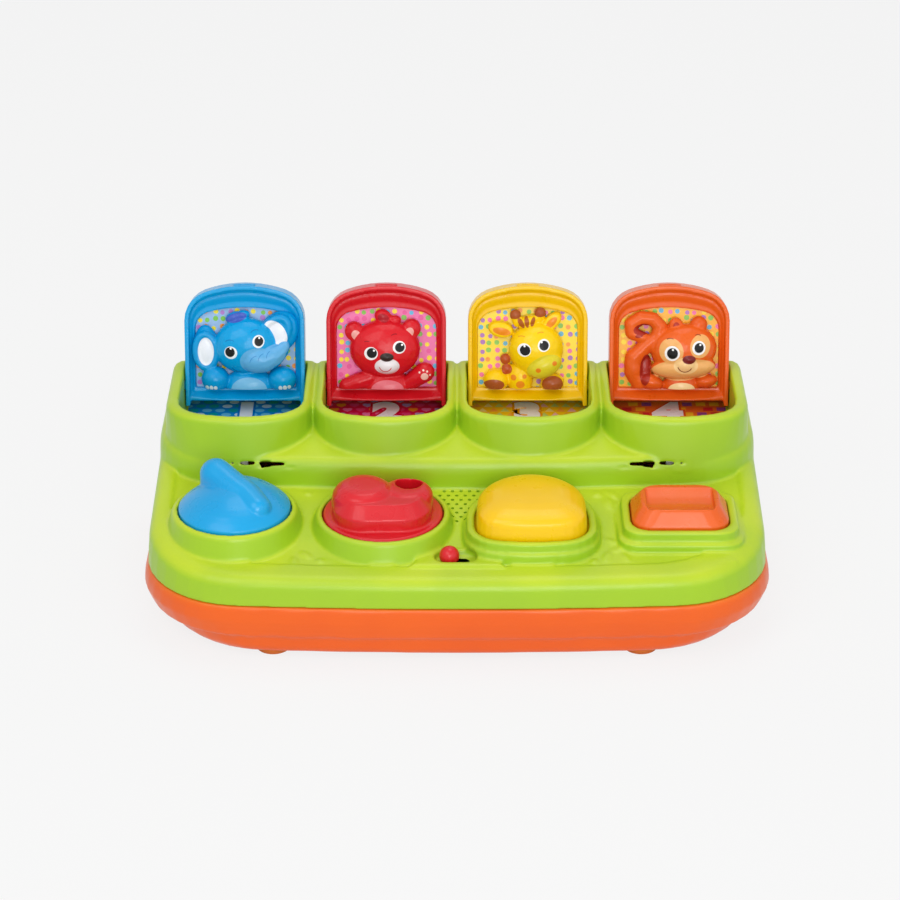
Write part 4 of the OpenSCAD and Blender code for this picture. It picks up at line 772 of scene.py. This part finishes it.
for number, (figureName, look) in enumerate(figures.items(), 1):
    figureBm = bmesh.new()
    for centre, radii, turn in look["forms"]:
        ellipsoid(figureBm, centre, radii, turn)
    for tube in look["tubes"]:
        limb(figureBm, tube)
    for centre, across, along, thick, turn in look["rims"]:
        ovalRing(figureBm, centre, across, along, thick, turn)
    bmesh.ops.transform(figureBm, matrix=placeOnDoor(number), verts=figureBm.verts)
    figure = soften(figureName, figureBm, 0.42, 5, 60000)
    cutBm = bmesh.new()
    cutBm.from_mesh(figure.data)
    toDoor = placeOnDoor(number)
    for point, normal in (((0, 0, ledge["picture"]), (0, 0, 1)), ((0, ledge["foot"], 0), (0, 1, 0))):
        cut = bmesh.ops.bisect_plane(cutBm, geom=cutBm.verts[:] + cutBm.edges[:] + cutBm.faces[:], clear_inner=True,
                                     plane_co=toDoor @ Vector(point), plane_no=toDoor.to_3x3() @ Vector(normal))
        rim = [e for e in cut["geom_cut"] if isinstance(e, bmesh.types.BMEdge)]
        bmesh.ops.holes_fill(cutBm, edges=rim, sides=0)
    cutBm.to_mesh(figure.data)
    cutBm.free()
    shadeSmooth(figure, 50)
    material = figureMaterial(figureName + "Paint", number, look["skin"], look["tint"], look["ovals"], look["arcs"])
    dress(figure, f"lid_{number}", figureSlots[figureName], material, figureName)
print("animals ready")


# ---------- picture labels and number labels ----------
def dotMaterial(name, number, ground, dots, size=4.0, radius=0.34):
    material, tree, shader = startMaterial(name, coat=0.4, coatRoughness=0.1)
    place = pictureCoordinates(tree, number)
    cells = tree.nodes.new("ShaderNodeTexVoronoi")
    cells.voronoi_dimensions = "2D"
    cells.inputs["Scale"].default_value = 1 / size
    cells.inputs["Randomness"].default_value = 0.42
    tree.links.new(place, cells.inputs["Vector"])
    split = tree.nodes.new("ShaderNodeSeparateColor")
    tree.links.new(cells.outputs["Color"], split.inputs[0])
    ramp = tree.nodes.new("ShaderNodeValToRGB")
    ramp.color_ramp.interpolation = "CONSTANT"
    for k, colour in enumerate(dots):
        element = ramp.color_ramp.elements[k] if k < 2 else ramp.color_ramp.elements.new(k / len(dots))
        element.position = k / len(dots)
        element.color = colour
    tree.links.new(split.outputs[0], ramp.inputs[0])
    reach = mapRange(tree, split.outputs[1], 0.0, 1.0, radius * 0.8, radius)
    mask = mapRange(tree, math2(tree, "SUBTRACT", cells.outputs["Distance"], reach), -0.03, 0.03, 1.0, 0.0, True)
    tree.links.new(mixColour(tree, mask, ground, ramp.outputs[0]), shader.inputs["Base Color"])
    shader.inputs["Roughness"].default_value = 0.3
    return material


dotLooks = [
    (srgb(150, 188, 224), [srgb(250, 226, 0), srgb(244, 144, 22), srgb(180, 120, 196), srgb(120, 196, 60),
                           srgb(250, 226, 0)]),
    (srgb(238, 112, 176), [srgb(250, 230, 0), srgb(80, 190, 232), srgb(120, 196, 60), srgb(230, 74, 156),
                           srgb(250, 230, 0)]),
    (srgb(250, 222, 8), [srgb(244, 150, 30), srgb(130, 200, 60), srgb(90, 180, 220), srgb(236, 110, 170),
                         srgb(170, 110, 190)]),
    (srgb(248, 186, 20), [srgb(90, 180, 220), srgb(236, 110, 170), srgb(130, 200, 60), srgb(170, 110, 190),
                          srgb(250, 230, 0)]),
]
for number, (ground, dots) in enumerate(dotLooks, 1):
    label = nodes[f"picture_label_{number}"]
    label.data.materials.clear()
    label.data.materials.append(dotMaterial(f"dotPrint{number}", number, ground, dots))


def motifMaterial(name, number, look):
    # rows of one small motif across the number label, each in a colour of its own
    material, tree, shader = startMaterial(name, coat=0.4, coatRoughness=0.1)
    place = tree.nodes.new("ShaderNodeTexCoord").outputs["Object"]
    move = tree.nodes.new("ShaderNodeMapping")
    move.inputs["Location"].default_value = (-(number - 2.5) * toy["pitch"], -53.3, 0)
    move.inputs["Scale"].default_value = (1000, 1000, 1000)
    tree.links.new(place, move.inputs["Vector"])
    split = tree.nodes.new("ShaderNodeSeparateXYZ")
    tree.links.new(move.outputs[0], split.inputs[0])
    pitch, row = look["pitch"]
    down = math2(tree, "DIVIDE", split.outputs[1], row)
    rowIndex = math2(tree, "FLOOR", down)
    odd = math2(tree, "MULTIPLY", math2(tree, "MODULO", math2(tree, "ADD", rowIndex, 100.0), 2.0), 0.5)
    across = math2(tree, "ADD", math2(tree, "DIVIDE", split.outputs[0], pitch), odd)
    columnIndex = math2(tree, "FLOOR", across)
    width, height = look["size"]
    x = math2(tree, "SUBTRACT", math2(tree, "SUBTRACT", across, columnIndex), 0.5)
    x = math2(tree, "MULTIPLY", x, 2 * pitch / width)
    y = math2(tree, "SUBTRACT", math2(tree, "SUBTRACT", down, rowIndex), 0.5)
    y = math2(tree, "MULTIPLY", y, 2 * row / height)
    shape = look["shape"]
    if shape == "oval":
        square = math2(tree, "ADD", math2(tree, "MULTIPLY", x, x), math2(tree, "MULTIPLY", y, y))
        inside = math2(tree, "SUBTRACT", 1.0, square)
    elif shape == "heart":
        side = math2(tree, "ABSOLUTE", x)
        notch = math2(tree, "MULTIPLY", math2(tree, "SQRT", side), 0.62)
        lift = math2(tree, "ADD", math2(tree, "SUBTRACT", math2(tree, "MULTIPLY", y, 1.1), notch), 0.18)
        square = math2(tree, "ADD", math2(tree, "MULTIPLY", x, x), math2(tree, "MULTIPLY", lift, lift))
        inside = math2(tree, "SUBTRACT", 0.9, square)
    elif shape == "triangle":
        side = math2(tree, "ABSOLUTE", x)
        slope = math2(tree, "SUBTRACT", math2(tree, "SUBTRACT", 1.0, math2(tree, "MULTIPLY", side, 2.0)), y)
        foot = math2(tree, "ADD", y, 0.95)
        inside = math2(tree, "MINIMUM", slope, foot)
    else:
        side = math2(tree, "ABSOLUTE", x)
        inside = math2(tree, "SUBTRACT", 1.0, math2(tree, "MAXIMUM", side, math2(tree, "ABSOLUTE", y)))
    mask = mapRange(tree, inside, 0.0, 0.16, 0.0, 1.0, True)
    cell = tree.nodes.new("ShaderNodeCombineXYZ")
    tree.links.new(columnIndex, cell.inputs[0])
    tree.links.new(rowIndex, cell.inputs[1])
    pick = tree.nodes.new("ShaderNodeTexWhiteNoise")
    pick.noise_dimensions = "3D"
    tree.links.new(cell.outputs[0], pick.inputs["Vector"])
    ramp = tree.nodes.new("ShaderNodeValToRGB")
    ramp.color_ramp.interpolation = "CONSTANT"
    for k, colour in enumerate(look["colours"]):
        element = ramp.color_ramp.elements[k] if k < 2 else ramp.color_ramp.elements.new(k / len(look["colours"]))
        element.position = k / len(look["colours"])
        element.color = colour
    tree.links.new(pick.outputs["Value"], ramp.inputs[0])
    tree.links.new(mixColour(tree, mask, look["ground"], ramp.outputs[0]), shader.inputs["Base Color"])
    shader.inputs["Roughness"].default_value = 0.3
    return material


motifLooks = [
    {"shape": "oval", "size": (5.2, 3.9), "pitch": (6.6, 4.7), "ground": srgb(0, 140, 214),
     "colours": [srgb(224, 240, 248), srgb(110, 196, 232), srgb(0, 166, 166)]},
    {"shape": "heart", "size": (5.4, 4.6), "pitch": (6.6, 5.1), "ground": srgb(220, 0, 72),
     "colours": [srgb(186, 152, 206), srgb(240, 120, 176), srgb(230, 62, 122), srgb(242, 152, 30)]},
    {"shape": "triangle", "size": (5.4, 4.9), "pitch": (5.6, 5.2), "ground": srgb(252, 206, 16),
     "colours": [srgb(246, 190, 196), srgb(250, 172, 70), srgb(200, 222, 120), srgb(255, 236, 150)]},
    {"shape": "dash", "size": (5.2, 4.4), "pitch": (6.8, 5.6), "ground": srgb(238, 112, 40),
     "colours": [srgb(150, 70, 150), srgb(214, 40, 52), srgb(252, 190, 40), srgb(238, 112, 40)]},
]
digitLook = {"size": 26, "bold": 1.9, "edge": 3.1, "baseline": 50, "wide": 1.0}
whiteInk = plastic("whiteInk", palette["white"], srgb(236, 236, 240), 0.3, share=0.3, coat=0.4, coatRoughness=0.1)
edgeInks = [plastic(f"edgeInk{n}", colour, colour, 0.3, coat=0.4, coatRoughness=0.1) for n, colour in enumerate(
    (srgb(0, 124, 206), srgb(206, 0, 56), srgb(240, 160, 0), srgb(226, 84, 24)), 1)]


def digit(name, number, bold, low, high):
    # a digit of the plain built-in face, laid flat and made a mesh
    curve = bpy.data.curves.new(name, "FONT")
    curve.body = str(number)
    curve.align_x = "CENTER"
    curve.size = digitLook["size"] * millimetre
    curve.offset = bold * millimetre
    curve.extrude = (high - low) / 2 * millimetre
    curve.resolution_u = 6
    source = bpy.data.objects.new(name, curve)
    scene.collection.objects.link(source)
    mesh = bpy.data.meshes.new_from_object(source.evaluated_get(bpy.context.evaluated_depsgraph_get()))
    bpy.data.objects.remove(source)
    bpy.data.curves.remove(curve)
    middle = ((number - 2.5) * toy["pitch"], digitLook["baseline"], (low + high) / 2)
    mesh.transform(Matrix.Translation([c * millimetre for c in middle]) @ Matrix.Diagonal((digitLook["wide"], 1, 1, 1)))
    piece = bpy.data.objects.new(name, mesh)
    scene.collection.objects.link(piece)
    return piece


for number, look in enumerate(motifLooks, 1):
    label = nodes[f"number_label_{number}"]
    label.data.materials.clear()
    label.data.materials.append(motifMaterial(f"motifPrint{number}", number, look))
    top = toy["wellFloor"]
    edge = digit(f"digitEdge{number}", number, digitLook["edge"], top, top + 0.06)
    dress(edge, "root", f"number_print_{number}", edgeInks[number - 1])
    ink = digit(f"digit{number}", number, digitLook["bold"], top + 0.06, top + 0.14)
    dress(ink, "root", f"number_print_{number}", whiteInk)
print("labels ready")


# ---------- controls ----------
controls = {  # node and body, the piece's name, its slot and plastic
    "twist_knob": ("twistKnob", "blue_plastic", bluePlastic), "dial": ("finderDial", "red_plastic", redPlastic),
    "push_button": ("pushButton", "yellow_plastic", yellowPlastic),
    "push_bar": ("pushBar", "orange_plastic", doorOrangePlastic),
}
for nodeName, (pieceName, slotName, material) in controls.items():
    control = soften(pieceName, fromNode(nodeName), 0.5, 6, 90000)
    dress(control, nodeName, slotName, material, nodeName)
nodes["mode_slider"].data.materials.clear()
nodes["mode_slider"].data.materials.append(redPlastic)
print("controls ready")
